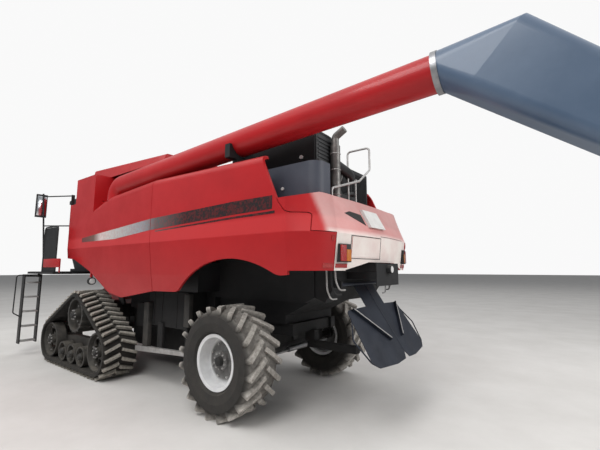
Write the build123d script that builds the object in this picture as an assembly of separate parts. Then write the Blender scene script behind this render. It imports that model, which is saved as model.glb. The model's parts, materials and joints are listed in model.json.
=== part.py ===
from build123d import *
from math import cos, hypot, radians, sin
import os

# Tracked combine harvester with no header on it. Millimetres: X runs forward from the drive axle,
# Y to the machine's left and Z up from the ground. On writing, every piece is moved along X alone,
# so that the origin lies under the middle of the machine.

# Overall sizes.
BODY_HALF = 1600
TRACK_OUTER_Y = 1745
TANK_TOP_Z = 3960
TANK_LOW_TOP_Z = TANK_TOP_Z - 565
CORNER_LOW_Z = TANK_TOP_Z - 540
CLEAR = 0.3

# Track: three equal wheels inside one belt.
IDLER_REAR = (-700, 475)
IDLER_FRONT = (1450, 475)
SPROCKET = (270, 1085)
TRACK_MIDDLE = (340, 700)
BELT_WIDTH = 610
WHEEL_R = 355
BELT_THICK = 50
LUG_HEIGHT = 70
LUG_ROWS = 48
LUG_LENGTH = 292
LUG_BASE = 62
LUG_TURN = 20
ROLLER_R = 190
ROLLER_X = (-55, 375, 805)
TRACK_AXLE_R = 45
TRACK_BEAM = 100
WHEEL_FACE = 190
WHEEL_GAP = 10

# Steered rear wheels.
REAR_X = -3800
TYRE_R = 740
TYRE_WIDTH = 600
REAR_WHEEL_Y = 1290
RIM_R = 350
TYRE_LUGS = 20
TYRE_LUG_HEIGHT = 45
TYRE_LUG_BASE = 60
TYRE_LUG_TURN = 38
KINGPIN_Y = 930
KINGPIN_R = 40
HUB_R = 130

# Feeder house on its pivot, and its two lift cylinders.
FEEDER_PIVOT = (500, 1550)
FEEDER_DROP = 22
FEEDER_RAISE = 21
FEEDER_LENGTH = 2260
FEEDER_HALF = 700
FEEDER_DEPTH = 580
FEEDER_WALL = 30
LIFT_Y = 560
LIFT_BASE = (430, 700)
LIFT_EYE_ALONG = 1350
LIFT_EYE_BELOW = 345
LIFT_EAR_GAP = 62
LIFT_EAR = 30
FEEDER_BACK = 120
FEEDER_PIN_R = 40
LIFT_BARREL_R = 55
LIFT_ROD_R = 28

# Unloading tube, from its turning elbow back to the boot.
ELBOW = (-540, BODY_HALF - 219, TANK_TOP_Z - 325)
TUBE_END = (-6790, ELBOW[1] - 231, TANK_TOP_Z + 70)
TUBE_R = 200
ELBOW_BEND = 230
TURRET_TOP_Z = ELBOW[2] - 300
TURRET_R = 150
TURRET_FLANGE_R = 205
BOOT_BEND = (-7310, TUBE_END[1] - 20, TUBE_END[2] - 70)
BOOT_END = (-8190, TUBE_END[1] - 50, TUBE_END[2] - 880)
BOOT_START = 430
BOOT_BEND_SIZE = (500, 810)
BOOT_END_SIZE = (480, 590)
BOOT_WALL = 14

# Frame rails and the sheet body that stands on them.
RAIL_TOP_Z = 1180
RAIL_LOW_Z = 1010
RAIL_INNER = 470
RAIL_OUTER = 590
BODY_FRONT_X = 170
SHEET_HALF = 760
TYRE_POCKET = (-4750, -2850)
TYRE_POCKET_HALF = 640
TYRE_POCKET_TOP = 1520
STEER_ARM = 245
AXLE_HALF_X = 150
AXLE_HALF_Z = 130

# Cab.
CAB_BACK_X = 1240
CAB_HALF = 950
CAB_FLOOR_Z = 2000
CAB_TOP_Z = 3720
CAB_WALL = 50
DOOR_LOW = (1330, 2080)
DOOR_HIGH = (2080, 3620)
GLASS = 10
PLATFORM_Z = 1880
PLATFORM_EDGE_Y = 1840
PLATFORM_FRONT_X = 2800
PLATFORM_THICK = 50
RAIL_POSTS = (1300, 2060)
RAIL_HIGH = 1070
LADDER_PIVOT = (2460, 1700)
LADDER_X = 2840
LADDER_DEEP = 160
LADDER_Y = (1515, 1880)
LADDER_LOW_Z = 230
TREAD_STEP = 345
MIRROR_POLE = (2100, 1735, 1870)
MIRROR_TOP_Z = 3760
DOOR_HINGE = (1316, 968)
DOOR_HINGE_R = 9
DOOR_HINGE_Z = (2300, 2900, 3400)
LADDER_PIN_R = 25

# Body shell. Its top edge runs through (x, z) points from the corner box to the tail.
PANEL = 40
CREASE_Z = 2430
SKIRT = ((55, 1900), (120, 1440))
SHOULDER_Y = BODY_HALF - 150
SHOULDER_R = 130
SHIELD_HINGE = (BODY_HALF - 120, TANK_LOW_TOP_Z)
SHIELD_HINGE_R = 15
SHIELD_HINGE_X = (-4500, -3500, -2450)
COVER_HALF = BODY_HALF - 310
COVER_RISE = (150, 310)
COVER_SHEET = 12
TANK_HALF = BODY_HALF - 170
TANK_LEFT_Y = BODY_HALF - 495
TANK_RIGHT_Y = -BODY_HALF + 350
SEAM_X = -2150
SEAM_GAP = 10
CORNER_BACK_X = 40
SHELL_TOP = (
    (CORNER_BACK_X, CORNER_LOW_Z - 170),
    (-600, CORNER_LOW_Z),
    (SEAM_X, CORNER_LOW_Z + 100),
    (-4660, CORNER_LOW_Z + 40),
    (-5060, CORNER_LOW_Z + 40),
)
OVER_SHELL_Z = CORNER_LOW_Z + 180
TAIL_X = SHELL_TOP[-1][0]
WHEEL_ARCH = (-4050, 400)
WHEEL_ARCH_R = 1730
DECK_Z = 2890
DECK_BACK_X = -4710
HOUSING = (-5000, -3700, 430, 880)
HOUSING_TOP_Z = 3980
COVER_BOX = (-5250, -4400, BODY_HALF - 420)
COVER_TOP_Z = CORNER_LOW_Z - 30
EXHAUST = (-5095, 480)
EXHAUST_R = 72
EXHAUST_TOP_Z = 3780
SCREEN = (-4100, 3350)
SCREEN_R = 414
COOLER_Y = 250 - BODY_HALF
COOLER_TOP_Z = 3780

# Tail hood: plan outlines at three heights, each with its corner (x, y) and the middle of its rear edge.
HOOD_FRONT_X = -4880
HOOD_TOP_Z = DECK_Z + 20 + PANEL
HOOD_ROWS = (
    (1970, (-5440, 1080), -5575),
    (CREASE_Z, (-5490, 1115), -5620),
    (HOOD_TOP_Z, (-5300, 900), -5330),
)
HOOD_SHOULDER = ((1170, HOOD_TOP_Z + 5), (1620, HOOD_TOP_Z - 107))
HOOD_ARCH = ((430, 2080), (910, 1980))
SHIELD_EDGE_Y = 1130
LAMP_BOX = (60, 205, 225)
LAMP_PLACE = (-5502, 985, 2185)
LAMP_TURN = -12.6
WORK_LAMP_R = 72
SIDE_LAMP = (150, BODY_HALF - 110, 1745)
BRACKET = (-5640, 380, 1760, 2070)

# Straw chute, hung on its bar, with measures along the plate from the bar.
CHUTE_TOP = (-5270, 1780)
CHUTE_LEAN = 33.3
CHUTE_NECK = (300, 345)
CHUTE_WING = ((350, 800), (1040, 870), (1115, 760), (1160, 330), (1150, 70), (1055, 0))
CHUTE_FOLD = 3
CHUTE_EAR_Y = 705
CHUTE_BAR_R = 22
CHUTE_SHEET = 8


def block(x0, x1, y0, y1, z0, z1):
    """A box between two corners."""
    return Pos((x0 + x1) / 2, (y0 + y1) / 2, (z0 + z1) / 2) * Box(x1 - x0, y1 - y0, z1 - z0)


def outline(points):
    """A flat outline through (a, b) points, rounded at those that hold a third value, a radius."""
    shape = make_face(Polyline(*[point[:2] for point in points], close=True))
    for a, b, *radius in points:
        if radius:
            shape = fillet(shape.vertices().sort_by_distance((a, b))[0], radius[0])
    return shape


def carry_across(shape, y0, y1):
    """A flat side outline carried from y0 to y1."""
    return extrude(Plane.XZ.offset(-y0) * shape, amount=y1 - y0, dir=(0, 1, 0))


def side_prism(points, y0, y1):
    """A side outline of (x, z) points carried across from y0 to y1."""
    return carry_across(outline(points), y0, y1)


def plan_prism(points, z0, z1):
    """A plan outline of (x, y) points carried up from z0 to z1."""
    return extrude(Plane.XY.offset(z0) * outline(points), amount=z1 - z0)


def cross_prism(points, x0, x1):
    """A cross section of (y, z) points carried along from x0 to x1."""
    return extrude(Plane.YZ.offset(x0) * outline(points), amount=x1 - x0)


def rod(p, q, r):
    """A round bar from point p to point q."""
    axis = Vector(*q) - Vector(*p)
    bar = Cylinder(r, axis.length, align=(Align.CENTER, Align.CENTER, Align.MIN))
    return Plane(origin=p, z_dir=axis) * bar


def cross_bar(x, z, r, y0, y1):
    """A round bar along Y."""
    return rod((x, y0, z), (x, y1, z), r)


def bent_tube(points, r, bend):
    """A round tube along straight runs with equal bends."""
    path = FilletPolyline(*points, radius=bend)
    return sweep(Plane(origin=path @ 0, z_dir=path % 0) * Circle(r), path=path)


def other_side(shape):
    """The same piece on the machine's right."""
    return mirror(shape, about=Plane.XZ)


def both_sides(shape):
    """A piece and its mirror image."""
    return shape + other_side(shape)


def turned_profile(points, x, y, z):
    """A ring about an axle along Y, from (radius, offset along Y) points."""
    face = make_face(Polyline(*[(r, 0, h) for r, h in points], close=True))
    ring = revolve(face, axis=Axis.Z)
    return Pos(x, y, z) * Rot(-90, 0, 0) * ring


# Track belt: one closed loop with two staggered rows of slanted lugs.
def track_loop(radius):
    """The loop's outline at one distance from the three wheel centres."""
    centres = [IDLER_REAR, SPROCKET, IDLER_FRONT]
    return offset(make_face(Polyline(*centres, close=True)), amount=radius, kind=Kind.ARC)


def track_belt():
    outer_r = WHEEL_R + BELT_THICK
    middle_y = TRACK_OUTER_Y - BELT_WIDTH / 2
    outer = track_loop(outer_r)
    flat = outer - track_loop(WHEEL_R + CLEAR)
    belt = extrude(Plane.XZ * flat, amount=BELT_WIDTH / 2, both=True)
    line = outer.face().outer_wire()
    lug_body = extrude(Rectangle(LUG_BASE, LUG_LENGTH), amount=LUG_HEIGHT + 4, taper=8)
    lugs = []
    for side in (1, -1):
        for row in range(LUG_ROWS):
            along = (row + (0.25 if side > 0 else 0.75)) / LUG_ROWS
            at = line.position_at(along)
            run = line.tangent_at(along)
            out = Vector(run.Y, -run.X, 0)
            if out.dot(at - Vector(*TRACK_MIDDLE, 0)) < 0:
                out = -out
            seat = at - out * 4
            place = Plane(
                origin=(seat.X, side * BELT_WIDTH / 4, seat.Y),
                x_dir=(run.X, 0, run.Y),
                z_dir=(out.X, 0, out.Y),
            )
            across = 1 if place.y_dir.Y > 0 else -1
            lugs.append(place * Rot(0, 0, side * across * LUG_TURN) * lug_body)
    reach = extrude(Plane.XZ * track_loop(outer_r + LUG_HEIGHT), amount=BELT_WIDTH, both=True)
    belt = (belt + lugs) & reach
    return Pos(0, middle_y, 0) * belt


def wheel_pair(x, z, r, hub_r, holes):
    """Two equal wheels, one each side of the track's middle beam."""
    middle_y = TRACK_OUTER_Y - BELT_WIDTH / 2
    inner = TRACK_BEAM / 2 + WHEEL_GAP
    outer = inner + WHEEL_FACE
    web = (inner + outer) / 2
    points = [
        (TRACK_AXLE_R + CLEAR, inner),
        (hub_r, inner),
        (hub_r, web - 15),
        (r - 45, web - 15),
        (r - 30, inner + 10),
        (r, inner + 10),
        (r, outer),
        (r - 30, outer),
        (r - 45, web + 15),
        (hub_r, web + 15),
        (hub_r, outer),
        (TRACK_AXLE_R + CLEAR, outer),
    ]
    wheel = turned_profile(points, 0, 0, 0)
    if holes:
        hole_r = (r - 60 - hub_r) / 2
        for k in range(holes):
            turn = 360 * k / holes
            wheel -= Rot(0, turn, 0) * cross_bar((r - 45 + hub_r) / 2, 0, hole_r * 0.8, 0, outer)
    pair = wheel + other_side(wheel)
    return Pos(x, middle_y, z) * pair


def track_wheels():
    wheels = wheel_pair(*IDLER_REAR, WHEEL_R, 95, 8)
    wheels += wheel_pair(*IDLER_FRONT, WHEEL_R, 95, 8)
    for x in ROLLER_X:
        wheels += wheel_pair(x, IDLER_REAR[1] - WHEEL_R + ROLLER_R, ROLLER_R, 70, 0)
    return wheels


def track_frame():
    """Middle beam with the wheel axles, and the plate that hangs it from the final drive."""
    middle_y = TRACK_OUTER_Y - BELT_WIDTH / 2
    half = TRACK_BEAM / 2
    low, high = IDLER_REAR[1] - 75, IDLER_REAR[1] + 85
    roller_z = IDLER_REAR[1] - WHEEL_R + ROLLER_R
    beam = side_prism(
        [
            (IDLER_REAR[0] - 70, low),
            (ROLLER_X[0] - 90, low),
            (ROLLER_X[0] - 60, roller_z - 60),
            (ROLLER_X[2] + 60, roller_z - 60),
            (ROLLER_X[2] + 90, low),
            (IDLER_FRONT[0] + 70, low),
            (IDLER_FRONT[0] + 70, high - 40),
            (SPROCKET[0] + 350, high + 60),
            (SPROCKET[0] - 350, high + 60),
            (IDLER_REAR[0] - 70, high - 40),
        ],
        middle_y - half,
        middle_y + half,
    )
    reach = half + WHEEL_GAP + WHEEL_FACE + 12
    for x, z in (IDLER_REAR, IDLER_FRONT):
        beam += cross_bar(x, z, TRACK_AXLE_R, middle_y - reach, middle_y + reach)
    for x in ROLLER_X:
        beam += cross_bar(x, roller_z, TRACK_AXLE_R, middle_y - reach, middle_y + reach)
    inner_y = TRACK_OUTER_Y - BELT_WIDTH - 25
    beam += cross_bar(SPROCKET[0], high, 60, inner_y - 60, middle_y)
    beam += side_prism(
        [
            (SPROCKET[0] - 330, high + 60),
            (SPROCKET[0] - 260, high - 90),
            (SPROCKET[0] + 260, high - 90),
            (SPROCKET[0] + 330, high + 60),
            (SPROCKET[0] + 210, SPROCKET[1] + 190),
            (SPROCKET[0] - 210, SPROCKET[1] + 190),
        ],
        inner_y - 70,
        inner_y,
    )
    beam -= cross_bar(*SPROCKET, 180 + CLEAR, inner_y - 80, inner_y + 10)
    return beam


def drive_sprocket():
    """Open drive wheel: two rims on a dished disc, joined by cross bars."""
    middle_y = TRACK_OUTER_Y - BELT_WIDTH / 2
    half = BELT_WIDTH / 2 - 40
    points = [
        (0, -half),
        (150, -half),
        (150, 60),
        (WHEEL_R - 60, 100),
        (WHEEL_R - 60, 40),
        (WHEEL_R - 20, 40),
        (WHEEL_R - 20, half),
        (WHEEL_R - 60, half),
        (WHEEL_R - 60, 150),
        (110, 110),
        (110, half + 20),
        (0, half + 20),
    ]
    wheel = turned_profile(points, 0, 0, 0)
    ring = [(WHEEL_R - 60, -half), (WHEEL_R - 20, -half), (WHEEL_R - 20, 0), (WHEEL_R - 60, 0)]
    wheel += turned_profile(ring, 0, 0, 0)
    teeth = []
    for k in range(18):
        bar = block(WHEEL_R - 58, WHEEL_R - 2, -half, half, -18, 18)
        teeth.append(Rot(0, 360 * k / 18, 0) * bar)
    wheel += teeth
    return Pos(SPROCKET[0], middle_y, SPROCKET[1]) * wheel


def front_axle():
    """Axle housing with a final drive at each end, the feeder's pivot ears and the cylinders' ears."""
    x, z = SPROCKET
    top = z + AXLE_HALF_Z
    beam = block(x - AXLE_HALF_X, x + AXLE_HALF_X, -900, 900, z - AXLE_HALF_Z, top)
    drive_end = TRACK_OUTER_Y - BELT_WIDTH + 40
    drive = cross_bar(x, z, 180, 860, drive_end - CLEAR)
    drive += cross_bar(x, z, 240, 860, drive_end - 145)
    px, pz = FEEDER_PIVOT
    drive += side_prism(
        [
            (x - 80, top - 5),
            (x + 145, top - 5),
            (px + 70, pz - 60),
            (px + 70, pz + 70),
            (px - 70, pz + 70),
            (px - 150, pz - 80),
        ],
        FEEDER_HALF + 12,
        FEEDER_HALF + 47,
    )
    drive += cross_bar(px, pz, FEEDER_PIN_R, FEEDER_HALF - FEEDER_WALL, FEEDER_HALF + 47)
    bx, bz = LIFT_BASE
    for inner in (LIFT_Y - LIFT_EAR_GAP - LIFT_EAR, LIFT_Y + LIFT_EAR_GAP):
        drive += side_prism(
            [(x - 120, z - 100), (x - 60, bz - 30), (bx + 20, bz - 55), (bx + 60, bz + 30), (x + 140, z - 100)],
            inner,
            inner + LIFT_EAR,
        )
    reach = LIFT_EAR_GAP + LIFT_EAR
    drive += cross_bar(bx, bz, 25, LIFT_Y - reach, LIFT_Y + reach)
    return beam + both_sides(drive)


def tyre():
    half = TYRE_WIDTH / 2
    carcass_r = TYRE_R - TYRE_LUG_HEIGHT
    points = [
        (RIM_R + CLEAR, -half + 74),
        (RIM_R + 24, -half + 74),
        (RIM_R + 60, -half + 22),
        (RIM_R + 170, -half),
        (carcass_r - 75, -half + 6),
        (carcass_r - 20, -half + 60),
        (carcass_r, 0),
        (carcass_r - 20, half - 60),
        (carcass_r - 75, half - 6),
        (RIM_R + 170, half),
        (RIM_R + 60, half - 22),
        (RIM_R + 24, half - 74),
        (RIM_R + CLEAR, half - 74),
    ]
    body = turned_profile(points, 0, 0, 0)
    lug_low = carcass_r - 95
    lugs = []
    for side in (1, -1):
        for k in range(TYRE_LUGS):
            turn = 360 * (k + (0 if side > 0 else 0.5)) / TYRE_LUGS
            bar = block(-TYRE_LUG_BASE / 2, TYRE_LUG_BASE / 2, -175, 175, lug_low, TYRE_R + 20)
            bar = Pos(0, side * 150, 0) * Rot(0, 0, side * TYRE_LUG_TURN) * bar
            lugs.append(Rot(0, turn, 0) * bar)
    shell = cross_bar(0, 0, TYRE_R, -half + 8, half - 8) - cross_bar(0, 0, lug_low + 5, -half, half)
    lugs = [bar & shell for bar in lugs]
    return Pos(REAR_X, REAR_WHEEL_Y, TYRE_R) * (body + lugs)


def rim():
    half = TYRE_WIDTH / 2
    disc = 90
    points = [
        (HUB_R - 60, disc),
        (RIM_R - 70, disc - 30),
        (RIM_R - 45, -half + 95),
        (RIM_R - 22, -half + 60),
        (RIM_R + 22, -half + 52),
        (RIM_R + 22, -half + 66),
        (RIM_R, -half + 72),
        (RIM_R, half - 72),
        (RIM_R + 22, half - 66),
        (RIM_R + 22, half - 52),
        (RIM_R - 22, half - 60),
        (RIM_R - 45, disc - 10),
        (HUB_R - 60, disc + 22),
    ]
    body = turned_profile(points, 0, 0, 0)
    hub = cross_bar(0, 0, HUB_R, disc - 40, disc + 60)
    return Pos(REAR_X, REAR_WHEEL_Y, TYRE_R) * (body + hub)


def knuckle():
    """Kingpin block with its spindle, and the steering arm behind."""
    z = TYRE_R
    head = block(REAR_X - 60, REAR_X + 60, KINGPIN_Y - 60, KINGPIN_Y + 70, z - 110, z + 110)
    head -= rod((REAR_X, KINGPIN_Y, z - 200), (REAR_X, KINGPIN_Y, z + 200), KINGPIN_R + 0.05)
    hub_face = REAR_WHEEL_Y + 50 - CLEAR
    spindle = cross_bar(REAR_X, z, 60, KINGPIN_Y + 65, hub_face)
    flange = cross_bar(REAR_X, z, 100, hub_face - 70, hub_face)
    arm = plan_prism(
        [
            (REAR_X - 50, KINGPIN_Y + 10),
            (REAR_X - 50, KINGPIN_Y - 55),
            (REAR_X - STEER_ARM + 15, KINGPIN_Y - 110),
            (REAR_X - STEER_ARM - 15, KINGPIN_Y - 60),
        ],
        z - 90,
        z - 50,
    )
    return head + spindle + flange + arm


def rear_axle():
    z = TYRE_R
    beam = block(REAR_X - 90, REAR_X + 90, -780, 780, z - 90, z + 110)
    beam += block(REAR_X - 80, REAR_X + 80, -180, 180, z + 100, z + 200)
    ends = block(REAR_X - 55, REAR_X + 55, 770, KINGPIN_Y + 50, z + 116, z + 160)
    ends += block(REAR_X - 55, REAR_X + 55, 770, KINGPIN_Y + 50, z - 160, z - 116)
    ends += block(REAR_X - 80, REAR_X + 80, 700, 800, z - 160, z + 160)
    ends += rod((REAR_X, KINGPIN_Y, z - 170), (REAR_X, KINGPIN_Y, z + 170), KINGPIN_R)
    pin = rod((REAR_X - 200, 0, z + 150), (REAR_X + 200, 0, z + 150), 60)
    return beam + both_sides(ends) + pin


def steering_rod():
    """Track rod and its ram, lying on the two steering arms."""
    x = REAR_X - STEER_ARM
    reach = KINGPIN_Y - 60
    z = TYRE_R - 50 + CLEAR + 20
    bar = rod((x, -reach, z), (x, reach, z), 20)
    bar += rod((x, -260, z + 15), (x, 260, z + 15), 45)
    return bar


def feeder_place():
    return Pos(FEEDER_PIVOT[0], 0, FEEDER_PIVOT[1]) * Rot(0, FEEDER_DROP, 0)


def feeder_house():
    """Sloping box, open at both ends, with the header's face frame."""
    deep = FEEDER_DEPTH / 2
    outer = block(-FEEDER_BACK, FEEDER_LENGTH, -FEEDER_HALF, FEEDER_HALF, -deep, deep)
    inner = block(
        -200,
        FEEDER_LENGTH + 10,
        -FEEDER_HALF + FEEDER_WALL,
        FEEDER_HALF - FEEDER_WALL,
        -deep + FEEDER_WALL,
        deep - FEEDER_WALL,
    )
    face = block(FEEDER_LENGTH - 80, FEEDER_LENGTH, -FEEDER_HALF - 60, FEEDER_HALF + 60, -deep - 60, deep + 60)
    shell = outer + face - inner
    ears = block(LIFT_EYE_ALONG - 60, LIFT_EYE_ALONG + 60, LIFT_Y - 65, LIFT_Y - 35, -LIFT_EYE_BELOW - 40, -deep + 5)
    ears += block(LIFT_EYE_ALONG - 60, LIFT_EYE_ALONG + 60, LIFT_Y + 35, LIFT_Y + 65, -LIFT_EYE_BELOW - 40, -deep + 5)
    shell -= cross_bar(0, 0, FEEDER_PIN_R + 0.05, -FEEDER_HALF - 10, FEEDER_HALF + 10)
    return feeder_place() * (shell + both_sides(ears))


def feeder_chain():
    """Slatted conveyor on its front drum."""
    drum_r = 190
    front = FEEDER_LENGTH - 400
    back = 60
    loop = make_face(Polyline((back, 0), (back, 0.01), (front, 0.01), (front, 0), close=True))
    outer = offset(loop, amount=drum_r, kind=Kind.ARC)
    inner = offset(loop, amount=drum_r - 18, kind=Kind.ARC)
    strand = extrude(Plane.XZ * (outer - inner), amount=20, both=True)
    chain = strand
    for y in (-560, 560):
        chain += Pos(0, y, 0) * strand
    chain += cross_bar(front, 0, drum_r - 17, -600, 600)
    for k in range(9):
        x = back + 60 + k * (front - back - 120) / 8
        for z in (drum_r - 9, -drum_r + 9):
            chain += block(x - 20, x + 20, -620, 620, z - 9, z + 25 if z > 0 else z + 9)
    chain += cross_bar(front, 0, 40, -FEEDER_HALF + FEEDER_WALL + CLEAR, FEEDER_HALF - FEEDER_WALL - CLEAR)
    return feeder_place() * chain


def lift_eye():
    a = radians(FEEDER_DROP)
    x = FEEDER_PIVOT[0] + LIFT_EYE_ALONG * cos(a) - LIFT_EYE_BELOW * sin(a)
    z = FEEDER_PIVOT[1] - LIFT_EYE_ALONG * sin(a) - LIFT_EYE_BELOW * cos(a)
    return x, z


def on_lift(along, from_eye=False):
    """A point on the lift cylinder's axis, so far from its base pin or short of its eye."""
    ex, ez = lift_eye()
    bx, bz = LIFT_BASE
    length = hypot(ex - bx, ez - bz)
    reach = length - along if from_eye else along
    return bx + (ex - bx) * reach / length, LIFT_Y, bz + (ez - bz) * reach / length


def lift_barrels():
    barrel = rod(on_lift(40), on_lift(160, True), LIFT_BARREL_R)
    barrel -= rod(on_lift(200), on_lift(0, True), LIFT_ROD_R + CLEAR)
    barrel += cross_bar(*LIFT_BASE, 50, LIFT_Y - LIFT_EAR_GAP + 5, LIFT_Y + LIFT_EAR_GAP - 5)
    barrel -= cross_bar(*LIFT_BASE, 25.05, LIFT_Y - 80, LIFT_Y + 80)
    return both_sides(barrel)


def lift_rods():
    ex, ez = lift_eye()
    bar = rod(on_lift(420), on_lift(20, True), LIFT_ROD_R)
    bar += cross_bar(ex, ez, 40, LIFT_Y - 28, LIFT_Y + 28)
    return both_sides(bar)


def chassis_frame():
    """Two rails with cross members, the rear axle's hangers and the drawbar."""
    front = SPROCKET[0] - AXLE_HALF_X
    low = RAIL_LOW_Z
    frame = both_sides(block(-4400, front, RAIL_INNER, RAIL_OUTER, low, RAIL_TOP_Z))
    for x in (-4300, -2900, -1500, -300):
        frame += block(x - 50, x + 50, -RAIL_INNER - 10, RAIL_INNER + 10, low + 10, RAIL_TOP_Z - 10)
    for x in (REAR_X - 135, REAR_X + 135):
        frame += block(x - 25, x + 25, -RAIL_OUTER + 30, RAIL_OUTER - 30, TYRE_R + 60, low + 5)
    frame += block(-5150, -4280, -60, 60, 760, 860)
    frame += block(-4420, -4240, -60, 60, 850, low + 20)
    frame -= rod((-5080, 0, 700), (-5080, 0, 900), 20)
    pin_z = TYRE_R + 150
    frame -= rod((REAR_X - 205, 0, pin_z), (REAR_X + 205, 0, pin_z), 60 + CLEAR)
    return frame


def separator_body():
    """Sheet housing of the rotor, from the feeder's mouth to the straw hood."""
    side = [
        (BODY_FRONT_X, 1370),
        (BODY_FRONT_X, 2425),
        (-4900, 2425),
        (-4900, 1600),
        (-4300, 1300),
        (-4300, RAIL_TOP_Z),
        (-100, RAIL_TOP_Z),
        (-100, 1370),
    ]
    pocket = block(*TYRE_POCKET, TYRE_POCKET_HALF, SHEET_HALF + 10, RAIL_TOP_Z - 10, TYRE_POCKET_TOP)
    return side_prism(side, -SHEET_HALF, SHEET_HALF) - both_sides(pocket)


def cleaning_shoe():
    """Closed pan under the rails that the sieves shake in."""
    top = RAIL_LOW_Z
    side = [(-600, top), (-900, 620), (-2600, 560), (-3250, 760), (-3300, top)]
    return side_prism(side, -RAIL_OUTER, RAIL_OUTER)


def skin_section(top, rounded):
    """The side skin's cross section: shoulder, flank, crease and tucked skirt, outside and inside."""

    def edge(inset):
        half = BODY_HALF - inset
        points = [(half, CREASE_Z)] + [(half - tuck, z) for tuck, z in SKIRT]
        if not rounded:
            return [(half, top)] + points
        return [(SHOULDER_Y, top - inset), (half, top - inset, SHOULDER_R - inset)] + points

    return outline(edge(0) + edge(PANEL)[::-1])


def shell_skin(stations):
    """Side skin with a rounded shoulder through (x, top) stations."""
    return loft([Plane.YZ.offset(x) * skin_section(top, True) for x, top in stations], ruled=True)


def tail_flank():
    """The stretch of the tail's skin that lifts with the shield, back to the rear corner."""
    reach = block(-5700, TAIL_X, SHIELD_EDGE_Y, BODY_HALF + 10, 1900, 2800)
    return (hood_form(0) - hood_form(PANEL)) & reach


def front_panels():
    """Fixed front skins, upright under the tank's corner boxes and rounded behind them."""
    side = outline(
        [
            (1200, OVER_SHELL_Z),
            (1200, 2225),
            (850, 2200, 250),
            (100, 1935, 600),
            (-600, 1550, 300),
            (-1080, 1470, 200),
            (SEAM_X + SEAM_GAP / 2, 1625),
            (SEAM_X + SEAM_GAP / 2, OVER_SHELL_Z),
        ]
    )
    upright = extrude(Plane.YZ.offset(CORNER_BACK_X) * skin_section(CORNER_LOW_Z, False), amount=1200 - CORNER_BACK_X)
    skin = (upright + shell_skin(SHELL_TOP[:3])) & carry_across(side, 1000, BODY_HALF + 10)
    skin += block(CORNER_BACK_X, CORNER_BACK_X + PANEL, TANK_HALF + 1, BODY_HALF - 5, CORNER_LOW_Z - 270, CORNER_LOW_Z)
    x, _, z = SIDE_LAMP
    skin += block(x - 20, x + 20, BODY_HALF - 120, BODY_HALF - 80, z + WORK_LAMP_R + 10, z + 290)
    x, y, _ = ELBOW
    notch = rod((x, y, TURRET_TOP_Z - 20), (x, y, OVER_SHELL_Z), TURRET_FLANGE_R + 10)
    return (skin - notch) + other_side(skin)


def shield_outline():
    """Side outline of the lifting shield: wheel arch, tail to the rear corner, and slanted rear edge."""
    seam = SEAM_X - SEAM_GAP / 2
    side = outline(
        [
            (seam, OVER_SHELL_Z),
            (seam, 1628),
            (-2900, 1640),
            (-4830, 1900),
            (-5100, 1925),
            (-5600, 1972),
            (-5600, CREASE_Z),
            (-5325, CREASE_Z),
            (-5295, 2655, 40),
            (TAIL_X, 2655, 150),
            (-4940, 2810, 250),
            (-4655, CORNER_LOW_Z + 20),
            (-4655, OVER_SHELL_Z),
        ]
    )
    side -= Pos(*WHEEL_ARCH) * Circle(WHEEL_ARCH_R)
    front = side.vertices().sort_by_distance((-2844, 1640))[0]
    side = fillet(front, 200)
    return fillet(side.vertices().sort_by_distance((-4900, 1907))[0], 300)


def side_shield():
    skin = shell_skin(SHELL_TOP[2:]) + tail_flank()
    skin &= carry_across(shield_outline(), 1000, BODY_HALF + 10)
    y, z = SHIELD_HINGE
    for x in SHIELD_HINGE_X:
        lug = block(x - 30, x + 30, y - 24, y + 24, z - 20, shell_top(x) - PANEL / 2)
        skin += lug - rod((x - 40, y, z), (x + 40, y, z), SHIELD_HINGE_R + 0.05)
    return skin


def shell_top(x):
    """Height of the shell's top edge at x."""
    for (front, high), (rear, low) in zip(SHELL_TOP, SHELL_TOP[1:]):
        if rear <= x <= front:
            return high + (low - high) * (x - front) / (rear - front)


def hood_plan(z, corner, rear, inset):
    """One plan outline of the tail: flanks, rounded corners and bowed rear edge."""
    tuck = SKIRT[0][0] * max(0, CREASE_Z - z) / (CREASE_Z - SKIRT[0][1])
    half = BODY_HALF - tuck - inset
    x, y = corner[0] + inset, corner[1] - inset
    front = HOOD_FRONT_X + (10 if inset > 0 else 0)
    bulge = (TAIL_X + (x - TAIL_X) * 0.66, half - (half - y) * 0.33)
    left = [Line((front, half), (TAIL_X, half)), ThreePointArc((TAIL_X, half), bulge, (x, y))]
    right = [mirror(edge, about=Plane.XZ) for edge in left]
    rear_edge = ThreePointArc((x, y), (rear + inset, 0), (x, -y))
    return make_face(left + [rear_edge] + right + [Line((front, half), (front, -half))])


def hood_form(inset):
    """Solid form of the tail, smaller by a wall when it is the hollow."""
    sections = []
    for z, corner, rear in HOOD_ROWS:
        level = z
        if inset > 0 and z == HOOD_ROWS[0][0]:
            level = z - 10
        if z == HOOD_TOP_Z:
            level = z - inset
        sections.append(Plane.XY.offset(level) * hood_plan(z, corner, rear, inset))
    form = loft(sections, ruled=True)
    (y0, z0), (y1, z1) = HOOD_SHOULDER
    slope = [(y0, z0 - inset), (y1, z1 - inset), (y1, HOOD_TOP_Z + 50), (y0, HOOD_TOP_Z + 50)]
    return form - both_sides(cross_prism(slope, -5700, HOOD_FRONT_X + 20))


def lamp_box():
    """Body of one tail lamp, set in the rear face beside its corner."""
    return Pos(*LAMP_PLACE) * Rot(0, 0, LAMP_TURN) * Box(*LAMP_BOX)


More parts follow.
